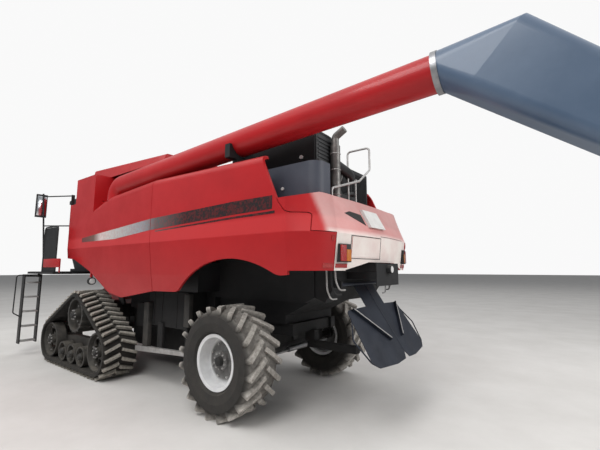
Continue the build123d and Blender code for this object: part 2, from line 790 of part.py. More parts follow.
def rear_hood():
    """Tapered tail: rear face, sloping back and top, open below and in front."""
    skin = hood_form(0) - hood_form(PANEL)
    beside = offset(shield_outline(), amount=SEAM_GAP, kind=Kind.INTERSECTION)
    skin -= both_sides(carry_across(beside, SHIELD_EDGE_Y - SEAM_GAP, BODY_HALF + 100))
    (y0, z0), (y1, z1) = HOOD_ARCH
    arch = cross_prism([(y1, z1 - 100), (y1, z1), (y0, z0), (-y0, z0), (-y1, z1), (-y1, z1 - 100)], -5700, -5350)
    return skin - arch - both_sides(lamp_box())


def grain_tank():
    """Open-topped hopper with its raised extension and corner boxes."""
    wall = 40
    low = block(-2100, 1150, -TANK_HALF, TANK_HALF, 2425, TANK_LOW_TOP_Z)
    top = block(-1900, 930, TANK_RIGHT_Y, TANK_LEFT_Y, TANK_LOW_TOP_Z, TANK_TOP_Z)
    corners = block(CORNER_BACK_X, 930, TANK_LEFT_Y, BODY_HALF, CORNER_LOW_Z, TANK_TOP_Z)
    corners += block(CORNER_BACK_X, 930, -BODY_HALF, TANK_RIGHT_Y, CORNER_LOW_Z, TANK_TOP_Z)
    inside = block(-2100 + wall, 1150 - wall, -TANK_HALF + wall, TANK_HALF - wall, 2425 + wall, TANK_LOW_TOP_Z - wall)
    inside += block(-1900 + wall, 930 - wall, TANK_RIGHT_Y + wall, TANK_LEFT_Y - wall, 2600, TANK_TOP_Z + 10)
    tank = low + top + corners - inside
    x, y, _ = ELBOW
    tank -= rod((x, y, 2900), (x, y, TURRET_TOP_Z), TURRET_R + CLEAR)
    tank -= rod((x, y, TURRET_TOP_Z - 10), (x, y, TANK_TOP_Z + 40), TURRET_FLANGE_R + 10)
    return tank


def tank_cover():
    """One of the two roof halves that close the tank: a sheet lid, higher in front."""

    def lid(inset):
        foot = TANK_TOP_Z - (10 if inset else 0)
        half = COVER_HALF - inset
        sections = []
        for x, rise in zip((-1930 + inset, 960 - inset), COVER_RISE):
            high = TANK_TOP_Z + rise - inset
            points = [(3 + inset, foot), (3 + inset, high + 40), (half - 60, high, 50 - inset), (half, foot)]
            sections.append(Plane.YZ.offset(x) * outline(points))
        return loft(sections, ruled=True)

    return lid(0) - lid(COVER_SHEET)


def auger_turret():
    x, y, _ = ELBOW
    return rod((x, y, 2930), (x, y, TURRET_TOP_Z), TURRET_R)


def auger_tube():
    x, y, _ = ELBOW
    foot = TURRET_TOP_Z + CLEAR
    tube = bent_tube([(x, y, foot), ELBOW, TUBE_END], TUBE_R, ELBOW_BEND)
    return tube + rod((x, y, foot), (x, y, foot + 40), TURRET_FLANGE_R)


def tube_direction():
    return (Vector(*TUBE_END) - Vector(*ELBOW)).normalized()


def auger_ring():
    run = tube_direction()
    end = Vector(*TUBE_END)
    start = end - run * 60
    outer = rod(tuple(start), tuple(end), TUBE_R + 24)
    return outer - rod(tuple(start - run * 5), tuple(end + run * 5), TUBE_R + CLEAR)


def boot_body(inset):
    """The boot's outline, from the tube's round end to the rectangular mouth."""
    run = tube_direction()
    down = (Vector(*BOOT_END) - Vector(*BOOT_BEND)).normalized()
    past = CLEAR if inset == 0 else -1
    places = [
        Plane(origin=Vector(*TUBE_END) + run * past, z_dir=run, x_dir=(0, 1, 0)),
        Plane(origin=BOOT_BEND, z_dir=down, x_dir=(0, 1, 0)),
        Plane(origin=Vector(*BOOT_END) - down * min(past, 0), z_dir=down, x_dir=(0, 1, 0)),
    ]
    sizes = [(BOOT_START, BOOT_START, BOOT_START / 2 - 2), (*BOOT_BEND_SIZE, 150), (*BOOT_END_SIZE, 110)]
    first, second, third = [
        place * RectangleRounded(wide - 2 * inset, high - 2 * inset, corner - inset)
        for place, (wide, high, corner) in zip(places, sizes)
    ]
    return loft([first, second]) + loft([second, third])


def auger_spout():
    return boot_body(0) - boot_body(BOOT_WALL)


def auger_cradle():
    """Post with a saddle that the folded tube lies over."""
    run = tube_direction()
    x = -3900
    step = (x - ELBOW[0]) / run.X
    y = ELBOW[1] + run.Y * step
    z = ELBOW[2] + run.Z * step
    post = block(x - 50, x + 50, y - 90, y + 90, DECK_Z + 20, z - 120)
    post += block(x - 50, x + 50, y - 240, y + 240, z - 260, z - 60)
    here = Vector(x, y, z)
    return post - rod(tuple(here - run * 200), tuple(here + run * 200), TUBE_R + 6)


def engine_deck():
    """Deck plate on its box, with the bars that the side shields hang on."""
    low, high = DECK_Z - 20, DECK_Z + 20
    deck = block(DECK_BACK_X, -2110, -TANK_HALF, TANK_HALF, low, high)
    deck += block(-5040, DECK_BACK_X, -1150, 1150, low, high)
    deck += block(-5000, -2150, -700, 700, 2425, low)
    y, z = SHIELD_HINGE
    bar = rod((SHIELD_HINGE_X[0] - 60, y, z), (SHIELD_HINGE_X[2] + 60, y, z), SHIELD_HINGE_R)
    for x in SHIELD_HINGE_X:
        bar += block(x + 45, x + 85, TANK_HALF - 30, TANK_HALF, low + 10, z - 65)
        bar += block(x + 45, x + 85, TANK_HALF - 30, y + 15, z - 95, z - 65)
        bar += block(x + 45, x + 85, y - 12, y + 12, z - 70, z + 5)
    return deck + both_sides(bar)


def engine_block():
    return block(-4500, -3300, -420, 420, DECK_Z + 20, DECK_Z + 620)


def stood_on_deck(x0, x1, y0, y1):
    """Foot of a housing that stands half on the deck plate and half on the hood."""
    return block(max(x0, HOOD_FRONT_X + SEAM_GAP), x1, y0, y1, DECK_Z + 20, HOOD_TOP_Z + 5)


def engine_cover():
    """Slate side box of the engine bay, with a rounded rear corner."""
    x0, x1, y1 = COVER_BOX
    y0 = HOUSING[3]
    cover = plan_prism([(x0, y0), (x0, y1, 160), (x1, y1), (x1, y0)], HOOD_TOP_Z, COVER_TOP_Z)
    return cover + stood_on_deck(x0, x1, y0, y1)


def intake_housing():
    """Tall black box between the engine and its side cover."""
    x0, x1, y0, y1 = HOUSING
    box = block(x0, x1, y0, y1, HOOD_TOP_Z, HOUSING_TOP_Z)
    box = chamfer(box.edges().group_by(Axis.Z)[-1], 30)
    return box + stood_on_deck(x0, x1, y0, y1)


def exhaust_stack():
    x, y = EXHAUST
    stack = rod((x, y, HOOD_TOP_Z), (x, y, EXHAUST_TOP_Z), EXHAUST_R)
    bend = [(x, y, EXHAUST_TOP_Z - 80), (x, y, EXHAUST_TOP_Z + 140), (x - 160, y, EXHAUST_TOP_Z + 230)]
    return stack + bent_tube(bend, EXHAUST_R - 17, 60)


def cooling_box():
    box = block(-4700, -3500, COOLER_Y, -700, DECK_Z + 20, COOLER_TOP_Z)
    box -= cross_bar(*SCREEN, SCREEN_R + 6, COOLER_Y - 50, COOLER_Y + 60)
    return box - cross_bar(*SCREEN, 25.05, COOLER_Y, COOLER_Y + 200)


def air_screen():
    disc = cross_bar(*SCREEN, SCREEN_R, COOLER_Y + 5, COOLER_Y + 50)
    return disc + cross_bar(*SCREEN, 25, COOLER_Y + 40, COOLER_Y + 190)


def handrails():
    """Climbing rail that rises across the tail's top and comes down on the deck."""
    path = [
        (-5200, 760, HOOD_TOP_Z),
        (-5200, 760, 3090),
        (-5200, -60, 3350),
        (-5200, -440, 3620),
        (-5200, -440, 4000),
        (-4790, -440, 4000),
        (-4790, -440, DECK_Z + 20),
    ]
    return bent_tube(path, 17, 60)


def fuel_tank():
    """Tanks that hang on the sheet body behind the side shields."""
    return both_sides(block(-2950, -2250, SHEET_HALF, 1200, 1620, 2100))


def cab_outline(inset):
    return [
        (CAB_BACK_X + inset, CAB_FLOOR_Z + inset),
        (2450, CAB_FLOOR_Z + inset),
        (2760 - inset, 2400 + inset / 3),
        (2690 - inset, CAB_TOP_Z - inset),
        (CAB_BACK_X + inset, CAB_TOP_Z - inset),
    ]


def cab_shell():
    """Hollow cab: floor, back wall, posts and roof, with its door and windows cut out."""
    half = CAB_HALF
    shell = side_prism(cab_outline(0), -half, half)
    shell -= side_prism(cab_outline(CAB_WALL), -half + CAB_WALL, half - CAB_WALL)
    shell -= block(2350, 2900, -half + 90, half - 90, 2120, CAB_TOP_Z - 90)
    shell -= block(1420, 2550, -half - 10, -half + CAB_WALL + 10, 2250, CAB_TOP_Z - 110)
    shell -= block(DOOR_LOW[0] - 5, DOOR_HIGH[0] + 5, half - CAB_WALL - 10, half + 10, DOOR_LOW[1] - 5, DOOR_HIGH[1] + 5)
    shell -= block(2160, 2560, half - CAB_WALL - 10, half + 10, 2250, CAB_TOP_Z - 110)
    roof = block(CAB_BACK_X, 2960, -1000, 1000, CAB_TOP_Z, CAB_TOP_Z + 150)
    roof = chamfer(roof.edges().group_by(Axis.Z)[-1], 60)
    x, y = DOOR_HINGE
    for z in DOOR_HINGE_Z:
        for low in (z - 50, z + 30):
            roof += block(x - 26, x - 4, half - 5, y + 12, low, low + 20)
            roof += block(x - 10, x + 10, half + 8, y + 12, low, low + 20)
        roof += rod((x, y, z - 40), (x, y, z + 40), DOOR_HINGE_R - 3)
    return shell + roof


def cab_glass():
    """Windscreen along the cab's sloping nose, and the side panes."""
    half = CAB_HALF
    nose = side_prism(cab_outline(0), -half, half) - side_prism(cab_outline(GLASS), -half, half)
    panes = nose & block(2452, 2900, -half + 90, half - 90, 2120, CAB_TOP_Z - 90)
    panes += block(1420, 2550, -half + 5, -half + 5 + GLASS, 2250, CAB_TOP_Z - 110)
    panes += block(2160, 2560, half - 5 - GLASS, half - 5, 2250, CAB_TOP_Z - 110)
    return panes


def cab_door():
    x0, z0 = DOOR_LOW
    x1, z1 = DOOR_HIGH
    y1 = CAB_HALF
    y0 = y1 - CAB_WALL
    frame = block(x0, x1, y0, y1, z0, z1) - block(x0 + 60, x1 - 60, y0 - 5, y1 + 5, z0 + 60, z1 - 60)
    x, y = DOOR_HINGE
    for z in DOOR_HINGE_Z:
        leaf = block(x, x0 + 40, y1 + 4, y + 8, z - 28, z + 28)
        leaf += block(x0, x0 + 40, y1 - 2, y1 + 5, z - 28, z + 28)
        leaf += rod((x, y, z - 28), (x, y, z + 28), DOOR_HINGE_R + 2)
        frame += leaf - rod((x, y, z - 60), (x, y, z + 60), DOOR_HINGE_R - 2.95)
    return frame


def door_glass():
    x0, z0 = DOOR_LOW
    x1, z1 = DOOR_HIGH
    y1 = CAB_HALF - 20
    return block(x0 + 60, x1 - 60, y1 - GLASS, y1, z0 + 60, z1 - 60)


def operator_seat():
    seat = block(1520, 2000, -260, 260, 2420, 2540)
    seat += block(1430, 1530, -240, 240, 2500, 3150)
    seat += block(1620, 1880, -160, 160, CAB_FLOOR_Z + CAB_WALL, 2430)
    return seat


def steering_console():
    floor = CAB_FLOOR_Z + CAB_WALL
    post = block(2230, 2430, -100, 100, floor, floor + 30)
    post += rod((2330, 0, floor + 20), (2225, 0, 2830), 50)
    post += Pos(2225, 0, 2830) * Rot(0, -20, 0) * Torus(190, 16)
    post += Pos(2225, 0, 2830) * Rot(0, -20, 0) * Box(40, 370, 20)
    return post


def platform():
    """Walkway with its rail, guard sheet and the floor beams under the cab."""
    top = PLATFORM_Z + PLATFORM_THICK
    plate = block(CAB_BACK_X - 30, PLATFORM_FRONT_X, CAB_HALF + 30, PLATFORM_EDGE_Y, PLATFORM_Z, top)
    plate += block(1000, 2600, -900, CAB_HALF + 40, PLATFORM_Z, CAB_FLOOR_Z)
    x, y = LADDER_PIVOT
    plate -= rod((x, y, PLATFORM_Z - 5), (x, y, top + 5), LADDER_PIN_R + 0.05)
    back, front = RAIL_POSTS
    y = MIRROR_POLE[1] + 40
    high = PLATFORM_Z + RAIL_HIGH
    rail = bent_tube([(front, y, top), (front, y, high), (back, y, high), (back, y, top)], 16, 80)
    rail += block(back + 5, front - 5, y - 3, y + 3, top - 5, high - 20)
    return plate + rail


def ladder():
    """Swing-out access ladder: two deep stringers, treads, and a hand bar outside."""
    x0, x1 = LADDER_X, LADDER_X + LADDER_DEEP
    y0, y1 = LADDER_Y
    top = PLATFORM_Z - 15
    frame = block(x0, x1, y0, y0 + 25, LADDER_LOW_Z, top)
    frame += block(x0, x1, y1 - 25, y1, LADDER_LOW_Z, top)
    for k in range(5):
        z = LADDER_LOW_Z + 40 + TREAD_STEP * k
        frame += block(x0 + 10, x1 - 10, y0 + 5, y1 - 5, z, z + 25)
    px, py = LADDER_PIVOT
    frame += block(px - 40, x0 + 20, py - 40, py + 40, top - 60, top)
    frame += block(x0, x0 + 60, y0, y1, top - 60, top)
    frame += rod((px, py, top - 50), (px, py, PLATFORM_Z + PLATFORM_THICK - 5), LADDER_PIN_R)
    x = x0 + 50
    bar = [(x, y1 - 10, top - 20), (x, y1 + 140, top - 20), (x, y1 + 150, 960), (x, y1 - 10, 850)]
    return frame + bent_tube(bar, 13, 60)


def mirror_arm(foot_z, lowest_stay):
    """A leaning pole with stays back to the body and a mirror head."""
    x, low_y, high_y = MIRROR_POLE
    low_z = PLATFORM_Z + PLATFORM_THICK

    def at(z):
        return x, low_y + (high_y - low_y) * (z - low_z) / (MIRROR_TOP_Z - low_z), z

    arm = rod(at(foot_z), at(MIRROR_TOP_Z), 18)
    for z in (lowest_stay, MIRROR_TOP_Z - 70):
        arm += rod(at(z), (1210, BODY_HALF - 40, z - 40), 14)
    arm += block(1200, 1220, BODY_HALF - 70, BODY_HALF - 5, 2880, 3400)
    arm += block(1200, 1220, BODY_HALF - 70, BODY_HALF - 5, 3390, MIRROR_TOP_Z - 90)
    return arm + block(x + 8, x + 60, high_y - 95, high_y + 120, 3200, MIRROR_TOP_Z - 20)


def mirrors():
    x, y, _ = MIRROR_POLE
    floor = PLATFORM_Z + PLATFORM_THICK
    foot = block(x - 22, x + 22, y - 22, y + 22, floor, floor + 12)
    return mirror_arm(floor + 5, 3000) + foot + other_side(mirror_arm(2950, 3000))


def straw_hood():
    """Housing behind the rotor, with the ears of the chute's bar and the lamp bracket behind it."""
    side = [(-4900, 2425), (-4900, 1600), (-5060, 1540), (-5200, 1740), (-5200, 2425)]
    tx, tz = CHUTE_TOP
    ear = [(tx - 45, tz - 40), (tx - 45, tz + 45), (-5190, tz + 120), (-5190, tz - 40)]
    side_ear = side_prism(ear, CHUTE_EAR_Y, CHUTE_EAR_Y + 30)
    side_ear -= cross_bar(tx, tz, CHUTE_BAR_R + 0.05, CHUTE_EAR_Y - 15, CHUTE_EAR_Y + 45)
    x, half, low, high = BRACKET
    cheek = block(x, -5190, half - 12, half, 1850, 1950)
    plate = block(x - 12, x, -half, half, low, high)
    return side_prism(side, -740, 740) + both_sides(side_ear + cheek) + plate


def straw_chute():
    """Folded tail plate on a neck: two wings that meet at a ridge, with vanes and edge guards."""
    tx, tz = CHUTE_TOP
    neck_half, neck = CHUTE_NECK
    (wing_top, wing_half), (low, low_half) = CHUTE_WING[:2]
    rounded = [(*point, 50) for point in CHUTE_WING[:3]]
    wing = plan_prism([(0, 0), (0, neck_half), (neck, neck_half), *rounded, *CHUTE_WING[3:]], 0, CHUTE_SHEET)
    vane = [(wing_top, 700), (wing_top, 690), (860, 190), (870, 200)]
    wing += plan_prism(vane, -45, CHUTE_SHEET)
    guard = [(450, wing_half - 20, 4), (720, wing_half + 200, 4), (low, low_half, 4), (low, low_half - 60, 4)]
    wing += bent_tube(guard, 9, 50)
    place = Pos(tx, 0, tz) * Rot(0, 90 + CHUTE_LEAN, 0)
    ridge = rod((0, 0, CHUTE_SHEET / 2), (CHUTE_WING[-1][0] - 5, 0, CHUTE_SHEET / 2), 11)
    wings = both_sides(Rot(CHUTE_FOLD, 0, 0) * wing) + ridge
    reach = CHUTE_EAR_Y + 30
    return place * wings + cross_bar(tx, tz, CHUTE_BAR_R, -reach, reach)


def tail_lamps():
    return both_sides(lamp_box())


def work_lamps():
    """Round lamps: one under each flank's front and one on the bracket behind the chute."""
    x, y, z = SIDE_LAMP
    lamp = rod((x - 35, y, z), (x + 35, y, z), WORK_LAMP_R)
    lamp += block(x - 20, x + 20, y - 15, y + 15, z + 40, z + WORK_LAMP_R + 10)
    rear_x = BRACKET[0] - 12
    return both_sides(lamp) + rod((rear_x, 0, 1985), (rear_x - 60, 0, 1985), WORK_LAMP_R - 12)


PIECES = {
    "chassis_frame": chassis_frame,
    "separator_body": separator_body,
    "cleaning_shoe": cleaning_shoe,
    "front_axle": front_axle,
    "track_belt_left": track_belt,
    "track_belt_right": lambda: other_side(track_belt()),
    "track_frames": lambda: both_sides(track_frame()),
    "track_wheels": lambda: both_sides(track_wheels()),
    "drive_sprockets": lambda: both_sides(drive_sprocket()),
    "rear_axle": rear_axle,
    "knuckle_left": knuckle,
    "knuckle_right": lambda: other_side(knuckle()),
    "rim_left": rim,
    "rim_right": lambda: other_side(rim()),
    "tyre_left": tyre,
    "tyre_right": lambda: other_side(tyre()),
    "steering_rod": steering_rod,
    "feeder_house": feeder_house,
    "feeder_chain": feeder_chain,
    "lift_barrels": lift_barrels,
    "lift_rods": lift_rods,
    "cab_shell": cab_shell,
    "cab_glass": cab_glass,
    "cab_door": cab_door,
    "door_glass": door_glass,
    "operator_seat": operator_seat,
    "steering_console": steering_console,
    "platform": platform,
    "ladder": ladder,
    "mirrors": mirrors,
    "grain_tank": grain_tank,
    "tank_cover_left": tank_cover,
    "tank_cover_right": lambda: other_side(tank_cover()),
    "front_panels": front_panels,
    "side_shield_left": side_shield,
    "side_shield_right": lambda: other_side(side_shield()),
    "rear_hood": rear_hood,
    "tail_lamps": tail_lamps,
    "work_lamps": work_lamps,
    "engine_block": engine_block,
    "engine_deck": engine_deck,
    "engine_cover": engine_cover,
    "intake_housing": intake_housing,
    "exhaust_stack": exhaust_stack,
    "cooling_box": cooling_box,
    "air_screen": air_screen,
    "handrails": handrails,
    "fuel_tank": fuel_tank,
    "auger_turret": auger_turret,
    "auger_tube": auger_tube,
    "auger_ring": auger_ring,
    "auger_spout": auger_spout,
    "auger_cradle": auger_cradle,
    "straw_hood": straw_hood,
    "straw_chute": straw_chute,
}

os.makedirs("parts", exist_ok=True)
shapes = {name: make() for name, make in PIECES.items()}
front = max(shape.bounding_box().max.X for shape in shapes.values())
back = min(shape.bounding_box().min.X for shape in shapes.values())
MIDDLE_X = (front + back) / 2
print("middle of the machine, from the drive axle", round(MIDDLE_X, 3))
for name, shape in shapes.items():
    export_step(Pos(-MIDDLE_X, 0, 0) * shape, f"parts/{name}.step")
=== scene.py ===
# %% [markdown]
# A tracked combine harvester, dressed for its picture. The CAD model comes in as a fixed frame: every
# node already stands where it belongs, in metres, with +X forward, +Y to the left and +Z up.
# The look could be modelled anew over it, but new pieces laid on the frame keep both in step.

# %% Load the frame
import json
import math

import bmesh
import bpy
from mathutils import Matrix, Vector
from mathutils.bvhtree import BVHTree


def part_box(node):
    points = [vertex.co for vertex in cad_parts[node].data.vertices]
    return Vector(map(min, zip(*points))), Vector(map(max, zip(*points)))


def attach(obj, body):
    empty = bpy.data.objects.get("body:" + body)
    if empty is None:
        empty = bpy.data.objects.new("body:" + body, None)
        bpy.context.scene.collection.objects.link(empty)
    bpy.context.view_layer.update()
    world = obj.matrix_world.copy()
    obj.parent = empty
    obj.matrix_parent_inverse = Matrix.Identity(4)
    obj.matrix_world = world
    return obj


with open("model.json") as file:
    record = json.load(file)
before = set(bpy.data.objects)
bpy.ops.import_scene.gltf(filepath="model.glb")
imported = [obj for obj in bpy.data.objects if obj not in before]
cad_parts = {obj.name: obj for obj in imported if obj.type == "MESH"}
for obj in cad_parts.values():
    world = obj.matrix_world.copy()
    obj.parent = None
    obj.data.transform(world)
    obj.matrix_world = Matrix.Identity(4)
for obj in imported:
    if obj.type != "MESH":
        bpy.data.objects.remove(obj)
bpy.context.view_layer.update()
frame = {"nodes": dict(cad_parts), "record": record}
nodes = frame["nodes"]

# %% [markdown]
# The model was drawn from its front drive axle, and the frame's origin is under its middle. The rear
# wheel's centre is 3.8 m behind that axle, so its box gives the step between the two. Places could be
# written from the frame's origin, but from the drive axle, as a maker measures, they are rounder.

# %% Places from the drive axle
REAR_AXLE = (-3.8, 0.74)
SIDES = {1: "left", -1: "right"}
wheel_low, wheel_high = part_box("tyre_left")
AXLE_X = (wheel_low.x + wheel_high.x) / 2 - REAR_AXLE[0]


def at(x, y, z):
    """A point measured from the drive axle, in the frame."""
    return Vector((x + AXLE_X, y, z))


print("drive axle at x", round(AXLE_X, 4))

# %% [markdown]
# Materials come first. Paint, rubber and steel on a working machine share two things: small changes of
# tone, and dust that lies thickest near the ground and on what faces up. Drawing them into every material
# would do, but as shared node groups they are changed in one place.

# %% Small helpers for shader trees
def new_group(name, inputs, outputs):
    """An empty shader group with named sockets."""
    tree = bpy.data.node_groups.new(name, "ShaderNodeTree")
    for label, kind in inputs:
        tree.interface.new_socket(label, in_out="INPUT", socket_type="NodeSocket" + kind)
    for label, kind in outputs:
        tree.interface.new_socket(label, in_out="OUTPUT", socket_type="NodeSocket" + kind)
    return tree, tree.nodes.new("NodeGroupInput"), tree.nodes.new("NodeGroupOutput")


def set_sockets(made, **values):
    """Plain values for a node's sockets; an underscore stands for a space in a name."""
    for label, value in values.items():
        made.inputs[label.replace("_", " ")].default_value = value
    return made


def node(tree, kind, **values):
    """A node with some of its sockets set."""
    return set_sockets(tree.nodes.new("ShaderNode" + kind), **values)


def fill(tree, sockets, values):
    """Each socket gets a link or a plain value."""
    for socket, value in zip(sockets, values):
        if isinstance(value, bpy.types.NodeSocket):
            tree.links.new(value, socket)
        else:
            socket.default_value = value


def maths(tree, kind, *values):
    """A math node over values or sockets."""
    made = tree.nodes.new("ShaderNodeMath")
    made.operation = kind
    fill(tree, made.inputs, values)
    return made.outputs[0]


def vectors(tree, kind, *values):
    """A vector math node over vectors or sockets."""
    made = tree.nodes.new("ShaderNodeVectorMath")
    made.operation = kind
    fill(tree, made.inputs, values)
    return made


def ramp(tree, value, low, high, first=0.0, last=1.0, smooth=False):
    """A value carried from one range to another."""
    made = node(tree, "MapRange", From_Min=low, From_Max=high, To_Min=first, To_Max=last)
    if smooth:
        made.interpolation_type = "SMOOTHSTEP"
    tree.links.new(value, made.inputs["Value"])
    return made.outputs["Result"]


def blend_colours(tree, share, first, second):
    """A colour between two, by a mask."""
    made = tree.nodes.new("ShaderNodeMix")
    made.data_type = "RGBA"
    fill(tree, (made.inputs[0], made.inputs[6], made.inputs[7]), (share, first, second))
    return made.outputs[2]


print("tree helpers ready")

# %% [markdown]
# Most masks start from a point's place, the way that it faces, or noise. Generated or UV coordinates would
# do, but object coordinates are metres on the machine, so that a height in a finish is a real height.

# %% Places and masks
def place_of(tree, output="Object"):
    """Object coordinates, or the object's own normals."""
    return tree.nodes.new("ShaderNodeTexCoord").outputs[output]


def axes_of(tree, output="Object"):
    """The same, split into X, Y and Z."""
    split = tree.nodes.new("ShaderNodeSeparateXYZ")
    tree.links.new(place_of(tree, output), split.inputs[0])
    return split.outputs


def noise(tree, scale, detail=4.0, rough=0.6):
    """Noise in object space."""
    made = node(tree, "TexNoise", Scale=scale, Detail=detail, Roughness=rough)
    tree.links.new(place_of(tree), made.inputs["Vector"])
    return made


def patches(tree, scale, low, high, least=0.0, most=1.0):
    """An uneven mask from noise, between two values."""
    return ramp(tree, noise(tree, scale, 5.0).outputs["Fac"], low, high, least, most)


def product(tree, first, *others):
    """Masks multiplied together."""
    for other in others:
        first = maths(tree, "MULTIPLY", first, other)
    return first


def placed_group(tree, group, **values):
    """A shared group, placed in a tree."""
    placed = tree.nodes.new("ShaderNodeGroup")
    placed.node_tree = group
    return set_sockets(placed, **values)


print("mask helpers ready")

# %% [markdown]
# Mottled tone mixes two close colours over broad noise, and hands on a fine height for the bump. A single
# colour would look like moulded toy plastic; a photograph wrapped on would tie the model to one machine.

# %% A shared group: mottled tone
GRAIN = 260.0
TONE_RISE = 0.4
mottle, mottle_in, mottle_out = new_group(
    "mottled_tone",
    [("First", "Color"), ("Second", "Color"), ("Scale", "Float")],
    [("Color", "Color"), ("Tone", "Float"), ("Height", "Float")],
)
broad = noise(mottle, 1.0, 5.0)
mottle.links.new(mottle_in.outputs["Scale"], broad.inputs["Scale"])
fine = noise(mottle, GRAIN, 2.0, 0.5)
tone = ramp(mottle, broad.outputs["Fac"], 0.35, 0.65)
mixed = blend_colours(mottle, tone, mottle_in.outputs["First"], mottle_in.outputs["Second"])
rise = maths(mottle, "MULTIPLY_ADD", tone, TONE_RISE, fine.outputs["Fac"])
fill(mottle, mottle_out.inputs, (mixed, tone, rise))
print("group", mottle.name)

# %% [markdown]
# Dust climbs from the ground to a height that each finish sets, settles on what faces up, and is broken
# into patches by noise. It covers the colour and dulls the shine by the same mask. A mask painted on a
# mesh would fit that mesh only; a rule of height and facing fits every piece.

# %% A shared group: field dust
MOST_DUST = 0.92
dust, dust_in, dust_out = new_group(
    "field_dust",
    [("Color", "Color"), ("Dust", "Color"), ("Top", "Float"), ("Amount", "Float"), ("Lying", "Float")],
    [("Color", "Color"), ("Mask", "Float")],
)
fade = node(dust, "MapRange", From_Min=0.0, To_Min=1.0, To_Max=0.0)
dust.links.new(axes_of(dust)["Z"], fade.inputs["Value"])
dust.links.new(dust_in.outputs["Top"], fade.inputs["From Max"])
uneven = ramp(dust, noise(dust, 7.0, 6.0, 0.65).outputs["Fac"], 0.35, 0.7, 0.25, 1.0)
climbing = maths(dust, "MULTIPLY", fade.outputs["Result"], dust_in.outputs["Amount"])
facing_up = maths(dust, "MAXIMUM", axes_of(dust, "Normal")["Z"], 0.0)
whole = maths(dust, "MULTIPLY_ADD", facing_up, dust_in.outputs["Lying"], climbing)
mask = maths(dust, "MINIMUM", maths(dust, "MULTIPLY", whole, uneven), MOST_DUST)
covered = blend_colours(dust, mask, dust_in.outputs["Color"], dust_in.outputs["Dust"])
fill(dust, dust_out.inputs, (covered, mask))
print("group", dust.name)

# %% [markdown]
# Lugs are worn pale by soil while the rubber between them stays dark. That could be painted on, but the
# tyre and the belt have a plain law for it: how far a point lies from the wheel's axis, or from the
# triangle on which the belt's three wheels turn. Each law is a group that gives this distance.

# %% Two shared groups: how far out a point of tread lies
IDLERS = ((-0.70, 0.475), (1.45, 0.475))
SPROCKET = (0.27, 1.085)
FAR_AWAY = 10.0


def flat_point(tree):
    """The point being shaded, seen from the side."""
    return vectors(tree, "MULTIPLY", place_of(tree), (1, 0, 1)).outputs[0]


wheel_reach, _, reach_out = new_group("wheel_reach", [], [("Reach", "Float")])
hub = at(REAR_AXLE[0], 0, REAR_AXLE[1])
away = vectors(wheel_reach, "DISTANCE", flat_point(wheel_reach), hub)
wheel_reach.links.new(away.outputs["Value"], reach_out.inputs["Reach"])

belt_reach, _, reach_out = new_group("belt_reach", [], [("Reach", "Float")])
here = flat_point(belt_reach)
corners = [at(x, 0, z) for x, z in (*IDLERS, SPROCKET)]
nearest = FAR_AWAY
for start, end in zip(corners, corners[1:] + corners[:1]):
    edge = end - start
    offset = vectors(belt_reach, "SUBTRACT", here, start).outputs[0]
    share = vectors(belt_reach, "DOT_PRODUCT", offset, edge / edge.length_squared).outputs["Value"]
    share = ramp(belt_reach, share, 0.0, 1.0)
    along = vectors(belt_reach, "SCALE", edge)
    belt_reach.links.new(share, along.inputs["Scale"])
    apart = vectors(belt_reach, "DISTANCE", offset, along.outputs[0]).outputs["Value"]
    nearest = maths(belt_reach, "MINIMUM", apart, nearest)
belt_reach.links.new(nearest, reach_out.inputs["Reach"])
print("groups", wheel_reach.name, belt_reach.name)

# %% [markdown]
# One function turns the groups into a material. The shader's own sockets hold what is the same all
# over, such as metalness and clear coat, and only colour, roughness and small bumps change over the
# surface. Each finish could be a tree of its own, but then no two would share a better rule for dust.

# %% A material from tone and dust
FIELD_DUST = (0.30, 0.26, 0.20, 1)
COAT_ROUGH = 0.12
DUST_ROUGH = 0.9
ROUGH_SPAN = 0.12
BUMP_DEPTH = 0.01


def finish_of(name, first, second, scale, rough, metal=0.0, coat=0.0, shine=0.5, dusty=0.2, lying=0.1,
              dust_top=1.5, bump=0.05, tread=None, change=None):
    """A finish: two tones, how rough it is when clean, how far the dust climbs, and what else marks it."""
    made = bpy.data.materials.new(name)
    made.use_nodes = True
    tree = made.node_tree
    shader = tree.nodes["Principled BSDF"]
    set_sockets(shader, Metallic=metal, Coat_Weight=coat, Coat_Roughness=COAT_ROUGH, Specular_IOR_Level=shine)
    tones = placed_group(tree, mottle, First=(*first, 1), Second=(*second, 1), Scale=scale)
    colour = tones.outputs["Color"]
    if tread:
        law, low, high, worn = tread
        on_lugs = ramp(tree, placed_group(tree, law).outputs["Reach"], low, high, smooth=True)
        worn_share = product(tree, on_lugs, patches(tree, 22.0, 0.3, 0.65, 0.45))
        colour = blend_colours(tree, worn_share, colour, (*worn, 1))
    if change:
        colour = change(tree, colour)
    layer = placed_group(tree, dust, Dust=FIELD_DUST, Top=dust_top, Amount=dusty, Lying=lying)
    tree.links.new(colour, layer.inputs["Color"])
    tree.links.new(layer.outputs["Color"], shader.inputs["Base Color"])
    clean = ramp(tree, tones.outputs["Tone"], 0.0, 1.0, rough, min(1.0, rough + ROUGH_SPAN))
    dull = maths(tree, "MULTIPLY", layer.outputs["Mask"], DUST_ROUGH)
    tree.links.new(maths(tree, "MAXIMUM", clean, dull), shader.inputs["Roughness"])
    relief = node(tree, "Bump", Strength=bump, Distance=BUMP_DEPTH)
    tree.links.new(tones.outputs["Height"], relief.inputs["Height"])
    tree.links.new(relief.outputs["Normal"], shader.inputs["Normal"])
    print("finish", made.name)
    return made


print("finish maker ready")

